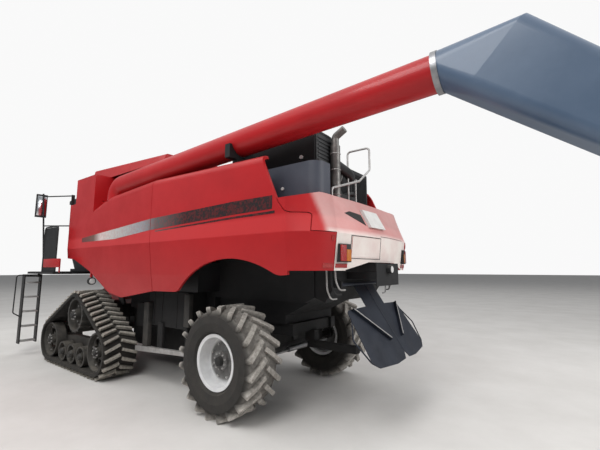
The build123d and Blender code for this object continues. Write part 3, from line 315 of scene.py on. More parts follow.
# %% [markdown]
# Four surfaces have a mark of their own. The red flank has a painted highlight: a lighter band above its
# crease, where the sheet leans out to the sky. The tail's rear face has a painted reflection: a pale glare
# of daylight. The band along the flank fades from black to silver towards the cab. The wheel's dish has
# painted shade round the hub. Thin sheets would give them an edge, so each is a function that changes the
# colour below the dust.

# %% Marks of single surfaces
# Lighter red of the painted highlight above the flank's crease.
CREASE_HIGHLIGHT_RED = (0.60, 0.045, 0.048, 1)
# Pale colour of the painted glare on the tail's rear face.
GLARE_PALE = (0.84, 0.78, 0.73, 1)
# Dark grey of the painted shade in the wheel's dish.
DISH_SHADE_GREY = (0.060, 0.058, 0.056, 1)
CREASE_Z = 2.42
FILM_BLACK, FILM_RED = (0.012, 0.012, 0.013, 1), (0.10, 0.03, 0.03, 1)
FILM_STOPS = (
    (0.22, (0.10, 0.10, 0.10)), (0.33, (0.26, 0.28, 0.30)), (0.62, (0.50, 0.50, 0.48)),
    (0.76, (0.66, 0.55, 0.53)), (0.84, (0.13, 0.09, 0.07)),
)


def painted_crease_highlight(tree, colour):
    """Painted highlight: lighter paint between the crease and the fold above it."""
    height = axes_of(tree)["Z"]
    above = ramp(tree, height, CREASE_Z, 2.44)
    below = ramp(tree, height, 2.60, 2.68, 1.0, 0.0, smooth=True)
    return blend_colours(tree, product(tree, above, below, 0.55), colour, CREASE_HIGHLIGHT_RED)


def painted_rear_glare(tree, colour):
    """Painted reflection: a pale glare on what faces rearward, over the painted highlight above the crease.
    """
    facing = axes_of(tree, "Normal")
    behind = ramp(tree, facing["X"], -0.72, -0.90, smooth=True)
    level = ramp(tree, maths(tree, "ABSOLUTE", facing["Y"]), 0.28, 0.45, 1.0, 0.0, smooth=True)
    lower = ramp(tree, axes_of(tree)["Z"], CREASE_Z, 2.50, 1.0, 0.40)
    share = product(tree, behind, lower, level, patches(tree, 3.0, 0.35, 0.6, 0.80, 0.96))
    return blend_colours(tree, share, painted_crease_highlight(tree, colour), GLARE_PALE)


def film_fade(tree, colour):
    """Black film that turns silver, then brown and red, towards the cab."""
    stops = tree.nodes.new("ShaderNodeValToRGB")
    rear, front = at(-3.1, 0, 0).x, at(0.5, 0, 0).x
    tree.links.new(ramp(tree, axes_of(tree)["X"], rear, front), stops.inputs[0])
    scale = stops.color_ramp.elements
    scale[0].color = FILM_BLACK
    scale[1].position = 0.99
    scale[1].color = FILM_RED
    for share, shade in FILM_STOPS:
        scale.new(share).color = (*shade, 1)
    broken = product(tree, patches(tree, 26.0, 0.42, 0.6), 0.22)
    return blend_colours(tree, broken, stops.outputs[0], colour)


def dish_shade(tree, colour):
    """Painted shade in the dish round the hub, broken by noise, with the rim pale outside it."""
    reach = placed_group(tree, wheel_reach).outputs["Reach"]
    near_hub = ramp(tree, reach, 0.235, 0.300, 1.0, 0.0, smooth=True)
    share = product(tree, near_hub, patches(tree, 9.0, 0.3, 0.7, 0.80))
    return blend_colours(tree, share, colour, DISH_SHADE_GREY)


print("marks ready")

# %% [markdown]
# The sheet metal is glossy red, the frame and the insides are satin black darkened further as painted
# shade, and the small painted parts are slate, grey or white. The boot on the unloading tube is black
# plastic, coloured dark blue as a painted reflection of bluish daylight. They could be mixed by hand in
# the editor; as one call each, two paints can be compared value by value.

# %% Paint and plastic
RED, RED_DEEP = (0.43, 0.011, 0.014), (0.37, 0.009, 0.012)
SOFT_SHINE = 0.25


def red_finish(name, coat=0.20, dusty=0.05, dust_top=2.4, bump=0.015, change=None):
    """The machine's red, with the dust and one surface's own mark, such as a painted highlight, a painted
    reflection or a print.
    """
    return finish_of(name, RED, RED_DEEP, 1.4, 0.36, coat=coat, shine=SOFT_SHINE, dusty=dusty,
                     dust_top=dust_top, bump=bump, change=change)


red_paint = red_finish("red_paint", dusty=0.08)
# The flanks' red carries a painted highlight in a band above the crease.
red_flank_highlit = red_finish("red_flank_highlit", dusty=0.06, change=painted_crease_highlight)
# The tail's red carries a painted reflection: a pale glare on its rear face.
red_tail_glare = red_finish("red_tail_glare", bump=0.02, change=painted_rear_glare)
side_film = red_finish("side_film", coat=0.3, dust_top=1.5, bump=0.01, change=film_fade)
black_paint = finish_of(
    "black_paint", (0.006, 0.0062, 0.0075), (0.011, 0.0115, 0.013), 3.0, 0.50, dusty=0.10, lying=0.06
)
slate_paint = finish_of(
    "slate_paint", (0.042, 0.048, 0.066), (0.058, 0.065, 0.086), 2.0, 0.45,
    dusty=0.10, dust_top=2.0, bump=0.04,
)
chute_paint = finish_of(
    "chute_paint", (0.009, 0.012, 0.020), (0.015, 0.020, 0.032), 3.5, 0.44,
    shine=SOFT_SHINE, dusty=0.04, lying=0.04, bump=0.04,
)
# A black darker than black_paint: painted shade for the frame and the parts deep inside the body.
shade_black = finish_of("shade_black", (0.004, 0.004, 0.005), (0.008, 0.008, 0.009), 5.0, 0.70, dusty=0.06)
track_grey = finish_of(
    "track_grey", (0.024, 0.023, 0.022), (0.046, 0.043, 0.040), 7.0, 0.60,
    dusty=0.14, lying=0.15, dust_top=1.6, bump=0.12,
)
# The rim's dish carries painted shade round the hub.
rim_paint = finish_of(
    "rim_paint", (0.78, 0.78, 0.78), (0.62, 0.62, 0.63), 4.0, 0.42, metal=0.1, dusty=0.12, change=dish_shade
)
plate_white = finish_of(
    "plate_white", (0.72, 0.71, 0.69), (0.62, 0.61, 0.59), 6.0, 0.45, dusty=0.05, bump=0.03
)
mirror_head = finish_of(
    "mirror_head", (0.010, 0.010, 0.011), (0.018, 0.018, 0.019), 18.0, 0.55, dusty=0.10, bump=0.15
)
# Black plastic, coloured dark blue as a painted reflection of bluish daylight.
boot_painted_reflection = finish_of(
    "boot_painted_reflection", (0.060, 0.100, 0.165), (0.086, 0.132, 0.205), 1.2, 0.34,
    coat=0.2, dusty=0.04, dust_top=4.0, bump=0.03,
)

# %% [markdown]
# The belts and tyres are rubber with pale, worn lugs, the rails and pipes are bare or worn steel, and the
# seat has a woven cover. Steel could be a grey paint, but only a metal shader tints what it mirrors.

# %% Rubber, steel and cloth
BELT_LUGS = (belt_reach, 0.415, 0.450, (0.42, 0.39, 0.34))
TYRE_LUGS = (wheel_reach, 0.625, 0.750, (0.46, 0.43, 0.39))
belt_rubber = finish_of(
    "belt_rubber", (0.013, 0.012, 0.011), (0.024, 0.022, 0.020), 9.0, 0.85,
    dusty=0.07, lying=0.05, bump=0.35, tread=BELT_LUGS,
)
tyre_rubber = finish_of(
    "tyre_rubber", (0.018, 0.017, 0.016), (0.030, 0.027, 0.025), 6.0, 0.80,
    dusty=0.05, lying=0.10, dust_top=2.4, bump=0.30, tread=TYRE_LUGS,
)
hose_rubber = finish_of(
    "hose_rubber", (0.010, 0.010, 0.011), (0.018, 0.018, 0.020), 40.0, 0.50, dusty=0.10, bump=0.20
)
bare_steel = finish_of(
    "bare_steel", (0.36, 0.36, 0.37), (0.26, 0.26, 0.27), 12.0, 0.38, metal=0.9, dust_top=1.6, bump=0.06
)
worn_steel = finish_of(
    "worn_steel", (0.50, 0.49, 0.48), (0.36, 0.35, 0.34), 16.0, 0.40, metal=0.5, dusty=0.1, bump=0.1
)
exhaust_steel = finish_of(
    "exhaust_steel", (0.20, 0.19, 0.18), (0.13, 0.125, 0.12), 10.0, 0.42, metal=0.8
)
seat_cloth = finish_of("seat_cloth", (0.030, 0.030, 0.034), (0.050, 0.050, 0.055), 90.0, 0.90, bump=0.40)

# %% [markdown]
# Glass lets light through and is a little hazy where it was wiped, and lenses are plastic under a clear
# coat. The screen before the cooler is a fine mesh. It could be modelled hole by hole, but at this size a
# pattern, with the holes painted black as painted shade, looks the same.

# %% Lenses, glass and the air screen
lamp_lens = finish_of("lamp_lens", (0.40, 0.015, 0.012), (0.28, 0.010, 0.010), 60.0, 0.14, coat=0.8, bump=0.1)
amber_lens = finish_of("amber_lens", (0.55, 0.17, 0.010), (0.42, 0.12, 0.008), 70.0, 0.14, coat=0.8, bump=0.1)
pale_lens = finish_of("pale_lens", (0.80, 0.78, 0.76), (0.68, 0.67, 0.66), 80.0, 0.16, coat=0.8, bump=0.08)
mirror_face = finish_of(
    "mirror_face", (0.80, 0.82, 0.84), (0.74, 0.76, 0.78), 2.0, 0.04, metal=1.0, dusty=0.02, bump=0.0
)
# Black of the painted shade in the screen's holes.
HOLE_SHADE = (0.004, 0.004, 0.004, 1)
clear_glass = bpy.data.materials.new("clear_glass")
clear_glass.use_nodes = True
pane_tree = clear_glass.node_tree
pane = pane_tree.nodes["Principled BSDF"]
set_sockets(pane, Transmission_Weight=0.85, IOR=1.45)
smear = noise(pane_tree, 4.0)
haze = ramp(pane_tree, smear.outputs["Fac"], 0.3, 0.8, 0.02, 0.12)
pane_tree.links.new(haze, pane.inputs["Roughness"])
glass_tone = blend_colours(pane_tree, smear.outputs["Fac"], (0.24, 0.29, 0.32, 1), (0.32, 0.38, 0.41, 1))
pane_tree.links.new(glass_tone, pane.inputs["Base Color"])


def mesh_holes(tree, colour):
    """Round holes in rows, painted black as the shade seen through them."""
    cells = node(tree, "TexVoronoi", Scale=48.0, Randomness=0.0)
    tree.links.new(place_of(tree), cells.inputs["Vector"])
    rims = ramp(tree, cells.outputs["Distance"], 0.30, 0.38)
    return blend_colours(tree, rims, HOLE_SHADE, colour)


screen_mesh = finish_of(
    "screen_mesh", (0.10, 0.10, 0.10), (0.14, 0.14, 0.14), 8.0, 0.5, metal=0.4, change=mesh_holes
)
print("glass", clear_glass.name)

# %% [markdown]
# The record names a slot for each node, and each slot has its finish. Some nodes wear one of their own,
# such as the flanks' red with its painted highlight, or the black darkened as painted shade inside the
# body. One list for all nodes would do as well, but it would hide the exceptions.

# %% A finish for every node
FINISHES = {
    "red_paint": red_paint, "black_paint": black_paint, "slate_paint": slate_paint,
    "belt_rubber": belt_rubber, "tyre_rubber": tyre_rubber, "rim_paint": rim_paint,
    "bare_steel": bare_steel, "clear_glass": clear_glass, "mirror_head": mirror_head,
    "boot_rubber": boot_painted_reflection, "exhaust_steel": exhaust_steel, "seat_cloth": seat_cloth,
    "lamp_lens": lamp_lens,
}
OWN_FINISH = {
    "straw_chute": chute_paint, "straw_hood": shade_black, "separator_body": shade_black,
    "chassis_frame": shade_black, "front_panels": red_flank_highlit, "side_shield_left": red_flank_highlit,
    "side_shield_right": red_flank_highlit, "rear_hood": red_tail_glare, "tail_lamps": mirror_head,
    "work_lamps": mirror_head, "air_screen": screen_mesh, "intake_housing": shade_black,
    "handrails": worn_steel, "ladder": mirror_head, "track_wheels": track_grey,
    "drive_sprockets": track_grey, "track_frames": track_grey,
}
for part in frame["record"]["subparts"]:
    piece = nodes[part["node"]]
    piece.data.materials.clear()
    piece.data.materials.append(OWN_FINISH.get(part["node"], FINISHES[part["material_slot"]]))

# %% [markdown]
# New pieces are made in a bmesh. This helper closes one: it turns the bmesh into an object, gives it a
# finish and hangs it on the body that carries it. The primitives of bpy.ops could be used too, but they
# depend on what is selected, and a bmesh doesn't.

# %% Closing a new piece
SHARP = math.radians(35)


def new_piece(name, made, finish, body="root"):
    """An object from a bmesh, riding on a body, with its sharp edges kept."""
    bmesh.ops.recalc_face_normals(made, faces=made.faces)
    mesh = bpy.data.meshes.new(name)
    made.to_mesh(mesh)
    made.free()
    mesh.materials.append(finish)
    mesh.shade_smooth()
    mesh.set_sharp_from_angle(angle=SHARP)
    shown = bpy.data.objects.new(name, mesh)
    bpy.context.scene.collection.objects.link(shown)
    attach(shown, body)
    return shown


print("closing ready")

# %% [markdown]
# Most small parts are round bars, blocks or flat sheets. They could be objects that are joined at the
# end, but each helper adds its form to a bmesh that is still open, so that many like parts are a short loop.

# %% Bars, blocks and plates
def place_form(made, verts, start, end):
    """Turns a form made along Z so that it runs from one point to another."""
    run = end - start
    turn = Vector((0, 0, 1)).rotation_difference(run).to_matrix()
    bmesh.ops.rotate(made, cent=(0, 0, 0), matrix=turn, verts=verts)
    bmesh.ops.translate(made, vec=(start + end) / 2, verts=verts)


def add_bar(made, start, end, radius, sides=16, end_radius=None):
    """A round bar, or a cone with its own end radius."""
    start, end = at(*start), at(*end)
    last = radius if end_radius is None else end_radius
    form = bmesh.ops.create_cone(
        made, cap_ends=True, segments=sides, radius1=radius, radius2=last, depth=(end - start).length
    )
    place_form(made, form["verts"], start, end)


def add_box(made, low, high, soft=0.0):
    """A block between two corners, its edges softened."""
    low, high = at(*low), at(*high)
    verts = bmesh.ops.create_cube(made, size=1.0)["verts"]
    bmesh.ops.scale(made, vec=high - low, verts=verts)
    bmesh.ops.translate(made, vec=(low + high) / 2, verts=verts)
    if soft:
        edges = list({edge for vert in verts for edge in vert.link_edges})
        bmesh.ops.bevel(made, geom=edges, offset=soft, segments=2, profile=0.5, affect="EDGES", material=-1)


def grow(made, faces, step):
    """Faces of a sheet turned into a block by a step."""
    grown = bmesh.ops.extrude_face_region(made, geom=faces)["geom"]
    verts = [item for item in grown if isinstance(item, bmesh.types.BMVert)]
    bmesh.ops.translate(made, vec=step, verts=verts)


def add_plate(made, points, step):
    """A flat outline of points, grown by a step."""
    grow(made, [made.faces.new([made.verts.new(at(*point)) for point in points])], Vector(step))


print("bars, blocks and plates ready")

# %% [markdown]
# Clamps and lamp rims are rings, and pipes have rounded bends. A curve with a bevel would draw both, but
# it has to be turned into a mesh afterwards; here a circle of points is spun, or bridged along a path.

# %% Rings and pipes
RING_SIDES = 32
BEND_STEPS = 5


def add_ring(made, centre, axis, radius, thick):
    """A round ring about an axis."""
    centre, axis = at(*centre), Vector(axis).normalized()
    out = axis.orthogonal().normalized()
    start = [
        made.verts.new(centre + out * (radius + thick * math.cos(a)) + axis * thick * math.sin(a))
        for a in (math.tau * k / 8 for k in range(8))
    ]
    edges = [made.edges.new(pair) for pair in zip(start, start[1:] + start[:1])]
    bmesh.ops.spin(made, geom=edges, cent=centre, axis=axis, angle=math.tau, steps=RING_SIDES, use_merge=True)


def rounded_path(points, bend):
    """The points of a line whose corners are rounded."""
    path = [points[0]]
    for before, corner, after in zip(points, points[1:], points[2:]):
        back, ahead = before - corner, after - corner
        cut = min(bend, back.length / 2, ahead.length / 2)
        first, last = corner + back.normalized() * cut, corner + ahead.normalized() * cut
        for k in range(BEND_STEPS + 1):
            t = k / BEND_STEPS
            path.append(first * (1 - t) ** 2 + corner * 2 * t * (1 - t) + last * t ** 2)
    return path + [points[-1]]


def add_pipe(made, points, radius, bend=0.06, sides=12):
    """A pipe through points, with rounded bends, from rings that are bridged."""
    path = rounded_path([at(*point) for point in points], bend)
    normal = (path[1] - path[0]).orthogonal().normalized()
    rings = []
    for k, spot in enumerate(path):
        run = (path[min(k + 1, len(path) - 1)] - path[max(k - 1, 0)]).normalized()
        normal = (normal - run * normal.dot(run)).normalized()
        across = run.cross(normal)
        verts = [
            made.verts.new(spot + (normal * math.cos(a) + across * math.sin(a)) * radius)
            for a in (math.tau * j / sides for j in range(sides))
        ]
        rings.append([made.edges.new(pair) for pair in zip(verts, verts[1:] + verts[:1])])
    for first, second in zip(rings, rings[1:]):
        bmesh.ops.bridge_loops(made, edges=first + second)
    for ring in (rings[0], rings[-1]):
        bmesh.ops.holes_fill(made, edges=ring, sides=sides)


print("rings and pipes ready")

# %% [markdown]
# Film, reflectors and lenses lie on curved sheet. Their corners are known from one side only, so each is
# cast onto the CAD skin along a direction and lifted by its own thickness. Typing the depth of every
# corner by hand would break as soon as the sheet changed.

# %% Casting a patch onto the skin
SKINS = {}
SUNK = 0.2


def cast_on(name, spot, along):
    """Where a line from a spot meets a CAD node."""
    if name not in SKINS:
        mesh = nodes[name].data
        shape = nodes[name].matrix_world
        SKINS[name] = BVHTree.FromPolygons(
            [shape @ vert.co for vert in mesh.vertices], [list(face.vertices) for face in mesh.polygons]
        )
    return SKINS[name].ray_cast(at(*spot), Vector(along))[0]


def add_patch(made, name, corners, along, thick, cells=(8, 4)):
    """A sheet between four corners: a grid whose points are cast onto a node, and then thickened."""
    low_a, low_b, high_b, high_a = (Vector(corner) for corner in corners)
    lift = -Vector(along) * thick
    grid = bmesh.ops.create_grid(made, x_segments=cells[0], y_segments=cells[1], size=0.5)["verts"]
    for vert in grid:
        u, v = vert.co.x + 0.5, vert.co.y + 0.5
        spot = (low_a * (1 - u) + low_b * u) * (1 - v) + (high_a * (1 - u) + high_b * u) * v
        vert.co = cast_on(name, spot, along) + lift
    sheet = list(dict.fromkeys(face for vert in grid for face in vert.link_faces))
    grow(made, sheet, -lift * (1 + SUNK))


print("casting ready")

# %% [markdown]
# A band of film runs along each flank, black behind and silver towards the cab, with a thin line below
# it. It is cut at the seam before the shield, and the shield takes its own part along when it lifts. A
# mask in the paint could draw it, but a thin sheet keeps its edges crisp.

# %% The film along the flanks
FILM = 0.002
FLANK_Y = 1.9
BAND_FRONT = ((0.47, 2.55, 2.64), (-0.93, 2.55, 2.74), (-2.143, 2.64, 2.83))
BAND_REAR = ((-2.157, 2.64, 2.83), (-4.17, 2.71, 2.89), (-4.86, 2.72, 2.89))
LINE_REAR = ((-2.30, 2.600, 2.618), (-4.17, 2.655, 2.682), (-4.90, 2.662, 2.696))


def add_strip(made, node_name, side, table):
    """Film through stations of x, lower edge and upper edge, cast onto a flank."""
    y = side * FLANK_Y
    for (x0, low0, high0), (x1, low1, high1) in zip(table, table[1:]):
        corners = [(x0, y, low0), (x1, y, low1), (x1, y, high1), (x0, y, high0)]
        add_patch(made, node_name, corners, (0, -side, 0), FILM, (6, 1))


for side, word in SIDES.items():
    front_strip, rear_strip = bmesh.new(), bmesh.new()
    add_strip(front_strip, "front_panels", side, BAND_FRONT)
    new_piece("film_front_" + word, front_strip, side_film)
    add_strip(rear_strip, "side_shield_" + word, side, BAND_REAR)
    add_strip(rear_strip, "side_shield_" + word, side, LINE_REAR)
    new_piece("film_rear_" + word, rear_strip, side_film, word + "_shield")
print("film pieces", 2 * len(SIDES))

# %% [markdown]
# The tail carries a dark red and an amber lamp in each rear corner, a red reflector below them that
# crosses onto the shield, and a small marker on the shield's corner. The lenses could be cut into the
# lamp's body, but a thin block on its face shows the same and leaves the CAD part as it is.

# %% Lamps and reflectors of the tail
LAMP_AT, LAMP_TURN = Vector((-5.502, 0.985, 2.185)), math.radians(-12.6)
LAMP_OUT = Vector((-math.cos(LAMP_TURN), -math.sin(LAMP_TURN), 0))
LAMP_ACROSS = Vector((-math.sin(LAMP_TURN), math.cos(LAMP_TURN), 0))
LAMP_FACE, LENS = 0.030, 0.012
BEHIND, FORWARD = -5.9, (1, 0, 0)
MARK = 0.008


def lamp_spot(side, out, across, up):
    """A point on a tail lamp: out of its face, across it and up."""
    spot = LAMP_AT + LAMP_OUT * out + LAMP_ACROSS * across
    return (spot.x, side * spot.y, spot.z + up)


def add_lens(made, side, left, right, low, high):
    """A lens on a tail lamp's face."""
    edges = ((left, low), (right, low), (right, high), (left, high))
    step = LAMP_OUT * LENS
    add_plate(made, [lamp_spot(side, LAMP_FACE, *edge) for edge in edges], (step.x, side * step.y, 0))


def tail_corners(side, y0, y1, low, high):
    """The corners of an upright patch behind the tail, ready to be cast forward."""
    return [(BEHIND, side * y, z) for y, z in ((y0, low), (y1, low), (y1, high), (y0, high))]


brake_lens, turn_lens, reflector = bmesh.new(), bmesh.new(), bmesh.new()
for side in SIDES:
    add_lens(brake_lens, side, -0.005, 0.092, -0.10, 0.10)
    add_lens(turn_lens, side, -0.092, -0.012, -0.10, 0.045)
    add_patch(reflector, "rear_hood", tail_corners(side, 0.90, 1.10, 2.005, 2.055), FORWARD, MARK)
new_piece("stop_lenses", brake_lens, lamp_lens)
new_piece("turn_lenses", turn_lens, amber_lens)
new_piece("rear_reflectors", reflector, lamp_lens)
for side, word in SIDES.items():
    corner_marks = bmesh.new()
    for table in ((1.15, 1.30, 2.005, 2.055), (1.16, 1.21, 2.335, 2.395)):
        add_patch(corner_marks, "side_shield_" + word, tail_corners(side, *table), FORWARD, MARK)
    new_piece("corner_marks_" + word, corner_marks, lamp_lens, word + "_shield")
print("tail lenses done")

# %% [markdown]
# The tail's rear face has an inspection panel with a fine joint round it, and above it on the slope a
# white box beside a hand recess, drawn as a black patch of painted shade. Joints could be cut into the
# sheet, but thin dark strips look the same and follow the slope, as the box does, when they are cast onto it.

# %% Rear face
PANEL = ((0.15, 0.83, 2.14, 2.40),)
WHITE_BOX = ((-0.11, 0.34, 2.56, 2.82),)
FRAME_JOINTS = ((0.845, 0.853, 2.12, 2.41), (0.13, 0.138, 2.12, 2.41), (0.13, 0.853, 2.118, 2.126))
LEVEL_JOINTS = ((0.13, 0.853, 2.408, 2.416), (0.2, 0.78, 2.265, 2.272), (-0.85, 0.13, 2.44, 2.446))
RECESS = ((0.80, 2.72), (0.39, 2.58), (0.39, 2.74), (0.66, 2.76))


def rear_patch(made, table, thick, cells=(8, 4)):
    """Patches on the rear face, each from two sides and two heights."""
    for spans in table:
        add_patch(made, "rear_hood", tail_corners(1, *spans), FORWARD, thick, cells)


joints, panel, box_sheet, recess = bmesh.new(), bmesh.new(), bmesh.new(), bmesh.new()
rear_patch(panel, PANEL, 0.006)
rear_patch(joints, FRAME_JOINTS, 0.003, (6, 6))
rear_patch(joints, LEVEL_JOINTS, 0.004, (6, 2))
rear_patch(box_sheet, WHITE_BOX, 0.045, (4, 4))
# The hand recess is a black patch: painted shade in the hollow.
add_patch(recess, "rear_hood", [(BEHIND, y, z) for y, z in RECESS], FORWARD, 0.003)
# The inspection panel wears the tail's red with its painted glare.
new_piece("rear_panel", panel, red_tail_glare)
new_piece("rear_joints", joints, shade_black)
new_piece("rear_white_box", box_sheet, plate_white)
new_piece("hand_recess_shade", recess, shade_black)
print("rear face done")

# %% [markdown]
# Each work lamp has a pale lens in a black ring, and two small pale markers sit on the engine's side
# boxes. They could be lit, but by day the bright, glossy lens is what shows.

# %% Work lamps and markers
SIDE_LAMP = (0.15, 1.49, 1.745)
SIDE_LAMP_HALF = 0.035
BRACKET_LAMP = (-5.652, 0.0, 1.985)
lenses, rings = bmesh.new(), bmesh.new()
for side in SIDES:
    x, y, z = SIDE_LAMP
    for out in (-1, 1):
        face = x + out * SIDE_LAMP_HALF
        add_bar(lenses, (face, side * y, z), (face + out * 0.006, side * y, z), 0.060, 28, 0.052)
        add_ring(rings, (face, side * y, z), (1, 0, 0), 0.066, 0.008)
x, y, z = BRACKET_LAMP
add_bar(lenses, (x - 0.060, y, z), (x - 0.067, y, z), 0.050, 28, 0.044)
add_ring(rings, (x - 0.060, y, z), (1, 0, 0), 0.055, 0.007)
add_bar(lenses, (-4.683, 1.180, 3.069), (-4.683, 1.196, 3.069), 0.022)
add_bar(lenses, (-4.780, 0.880, 3.572), (-4.780, 0.905, 3.572), 0.028)
new_piece("work_lenses", lenses, pale_lens)
new_piece("work_rings", rings, mirror_head)
print("work lamps done")

# %% [markdown]
# Every wheel is held by a ring of nuts round a cap. The nuts are short six-sided bars, set in a loop about
# each axle. Their depth could be typed in, but casting along the axle finds the dish of each wheel.

# %% Nuts and caps
CAST_FROM = 0.6


def add_nuts(made, node_name, centre, side, ring, count, size, height=0.022):
    """Nuts on a wheel's outer face, seen along its axle."""
    x, y, z = centre
    for k in range(count):
        turn = math.tau * (k + 0.5) / count
        spot = (x + ring * math.cos(turn), y + side * CAST_FROM, z + ring * math.sin(turn))
        seat = cast_on(node_name, spot, (0, -side, 0))
        if seat is not None:
            foot = (spot[0], seat.y, spot[2])
            add_bar(made, foot, (spot[0], seat.y + side * height, spot[2]), size, 6)


def add_cap(made, node_name, centre, side, radius, height):
    """A domed cap on an axle's end."""
    x, y, z = centre
    seat = cast_on(node_name, (x + radius * 0.97, y + side * CAST_FROM, z), (0, -side, 0))
    foot, top = seat.y, seat.y + side * height
    add_bar(made, (x, foot, z), (x, top, z), radius, 28, radius * 0.8)
    add_bar(made, (x, top, z), (x, top + side * height * 0.4, z), radius * 0.8, 28, radius * 0.35)


for side, word in SIDES.items():
    hub = (REAR_AXLE[0], side * 1.29, REAR_AXLE[1])
    wheel_nuts, hub_cap = bmesh.new(), bmesh.new()
    add_nuts(wheel_nuts, "rim_" + word, hub, side, 0.105, 10, 0.012, 0.016)
    add_nuts(wheel_nuts, "rim_" + word, hub, side, 0.225, 8, 0.016, 0.020)
    add_cap(hub_cap, "rim_" + word, hub, side, 0.070, 0.05)
    new_piece("wheel_nuts_" + word, wheel_nuts, worn_steel, word + "_wheel")
    new_piece("hub_cap_" + word, hub_cap, black_paint, word + "_wheel")
print("rear wheels done")

# %% [markdown]
# The track's idlers, rollers and sprocket are dressed in the same way. Each could have a piece of its own,
# but they stand still, as the belt does, so one piece holds the nuts of both tracks.

# %% Nuts and caps of the tracks
TRACK_Y = 1.44
ROLLERS = ((-0.055, 0.31), (0.375, 0.31), (0.805, 0.31))
track_nuts, track_caps = bmesh.new(), bmesh.new()
for side in SIDES:
    for x, z in IDLERS:
        centre = (x, side * TRACK_Y, z)
        add_nuts(track_nuts, "track_wheels", centre, side, 0.085, 8, 0.013)
        add_nuts(track_nuts, "track_wheels", centre, side, 0.270, 14, 0.016, 0.018)
        add_cap(track_caps, "track_wheels", centre, side, 0.062, 0.035)
    for x, z in ROLLERS:
        centre = (x, side * TRACK_Y, z)
        add_nuts(track_nuts, "track_wheels", centre, side, 0.120, 8, 0.009, 0.014)
        add_cap(track_caps, "track_wheels", centre, side, 0.062, 0.030)
    centre = (SPROCKET[0], side * TRACK_Y, SPROCKET[1])
    add_nuts(track_nuts, "drive_sprockets", centre, side, 0.088, 8, 0.012)
    add_nuts(track_nuts, "drive_sprockets", centre, side, 0.215, 12, 0.018, 0.020)
    add_cap(track_caps, "drive_sprockets", centre, side, 0.070, 0.040)
new_piece("track_nuts", track_nuts, worn_steel)
new_piece("track_caps", track_caps, mirror_head)
print("tracks done")

# %% [markdown]
# The ladder's treads are pale pressed plates with a raised edge and ribs. The walkway above has black grip
# strips, and a red edge board with a post stands behind its rail. An array modifier could repeat the
# treads and strips, but a loop keeps their spacing in one plain number.

# %% Ladder and walkway
TREADS, TREAD_FOOT, TREAD_STEP = 5, 0.295, 0.345
RIBS, RIB_STEP = 6, 0.021
STRIPS, STRIP_STEP = 34, 0.045
treads, edge_board, walk_grip = bmesh.new(), bmesh.new(), bmesh.new()
for k in range(TREADS):
    z = TREAD_FOOT + TREAD_STEP * k
    add_box(treads, (2.846, 1.545, z), (2.994, 1.850, z + 0.006), 0.002)
    add_box(treads, (2.836, 1.545, z - 0.028), (2.848, 1.850, z + 0.004), 0.002)
    for j in range(RIBS):
        x = RIB_STEP * j
        add_box(treads, (2.862 + x, 1.56, z + 0.006), (2.868 + x, 1.835, z + 0.009))
new_piece("tread_plates", treads, worn_steel, "access_ladder")
add_box(edge_board, (1.02, 1.790, 2.03), (1.95, 1.800, 2.22), 0.003)
add_box(edge_board, (1.02, 1.770, 1.92), (1.05, 1.795, 2.215), 0.003)
for k in range(STRIPS):
    x = 1.24 + STRIP_STEP * k
    add_box(walk_grip, (x, 1.00, 1.930), (x + 0.012, 1.74 if x < 2.1 else 1.82, 1.934))
new_piece("edge_board", edge_board, red_paint)
new_piece("walk_grip", walk_grip, black_paint)
print("ladder and walkway done")

# %% [markdown]
# Each mirror head has a silvered face to the rear and a cover in front. The face could be a material on
# one side of the head, but as a thin block it has an edge, as a real glass has.

# %% Mirrors
faces, heads = bmesh.new(), bmesh.new()
for side in SIDES:
    low, high = sorted((side * 1.790, side * 1.975))
    add_box(faces, (2.104, low, 3.240), (2.109, high, 3.700), 0.002)
    add_box(heads, (2.160, low, 3.26), (2.175, high, 3.68), 0.006)
new_piece("mirror_faces", faces, mirror_face)
new_piece("mirror_backs", heads, mirror_head)
print("mirrors done")

# %% [markdown]
# On the engine deck, the parts between the tall housing and the cooler show against the sky: an air duct,
# a filter canister, pipes, a slatted plate, the bars of a grille, two filler stems and the exhaust's
# clamps. They could be drawn in full, but only outlines show, so round forms and blocks are enough.

# %% Engine deck
DUCT = ((-4.80, 0.40, 3.70), (-4.80, 0.10, 3.70), (-4.80, -0.45, 3.62), (-4.74, -0.62, 3.60))
HOSES = (
    (((-4.62, 0.20, 3.35), (-4.90, 0.20, 3.35), (-4.93, 0.02, 3.10), (-4.70, -0.02, 3.0)), 0.038),
    (((-4.55, -0.36, 3.20), (-4.78, -0.40, 3.24), (-4.80, -0.60, 3.30), (-4.70, -0.72, 3.30)), 0.034),
)
CAN_X, CAN_Z, CAN = -4.62, 3.545, 0.155
STEMS = ((-5.12, 0.15, 3.30), (-5.06, -0.20, 3.42))
DECK_TOP = 2.955
SLATS, SLAT_STEP = 7, 0.055
GRILLE_BARS, BAR_STEP = 12, 0.048
deck_black, deck_steel = bmesh.new(), bmesh.new()
add_pipe(deck_black, DUCT, 0.085, 0.15, 20)
add_bar(deck_black, (CAN_X, 0.22, CAN_Z), (CAN_X, -0.34, CAN_Z), CAN, 28)
add_bar(deck_black, (CAN_X, -0.34, CAN_Z), (CAN_X, -0.39, CAN_Z), CAN, 28, 0.12)
for y in (0.14, -0.26):
    add_ring(deck_steel, (CAN_X, y, CAN_Z), (0, 1, 0), CAN, 0.006)
    add_box(deck_black, (-4.72, y - 0.02, 2.910), (-4.52, y + 0.02, 3.44), 0.004)
for run, radius in HOSES:
    add_pipe(deck_black, run, radius)
add_box(deck_black, (-4.98, -0.36, DECK_TOP), (-4.80, 0.28, 3.16), 0.02)
add_box(deck_black, (-5.02, 0.44, 3.46), (-4.99, 0.86, 3.90), 0.006)
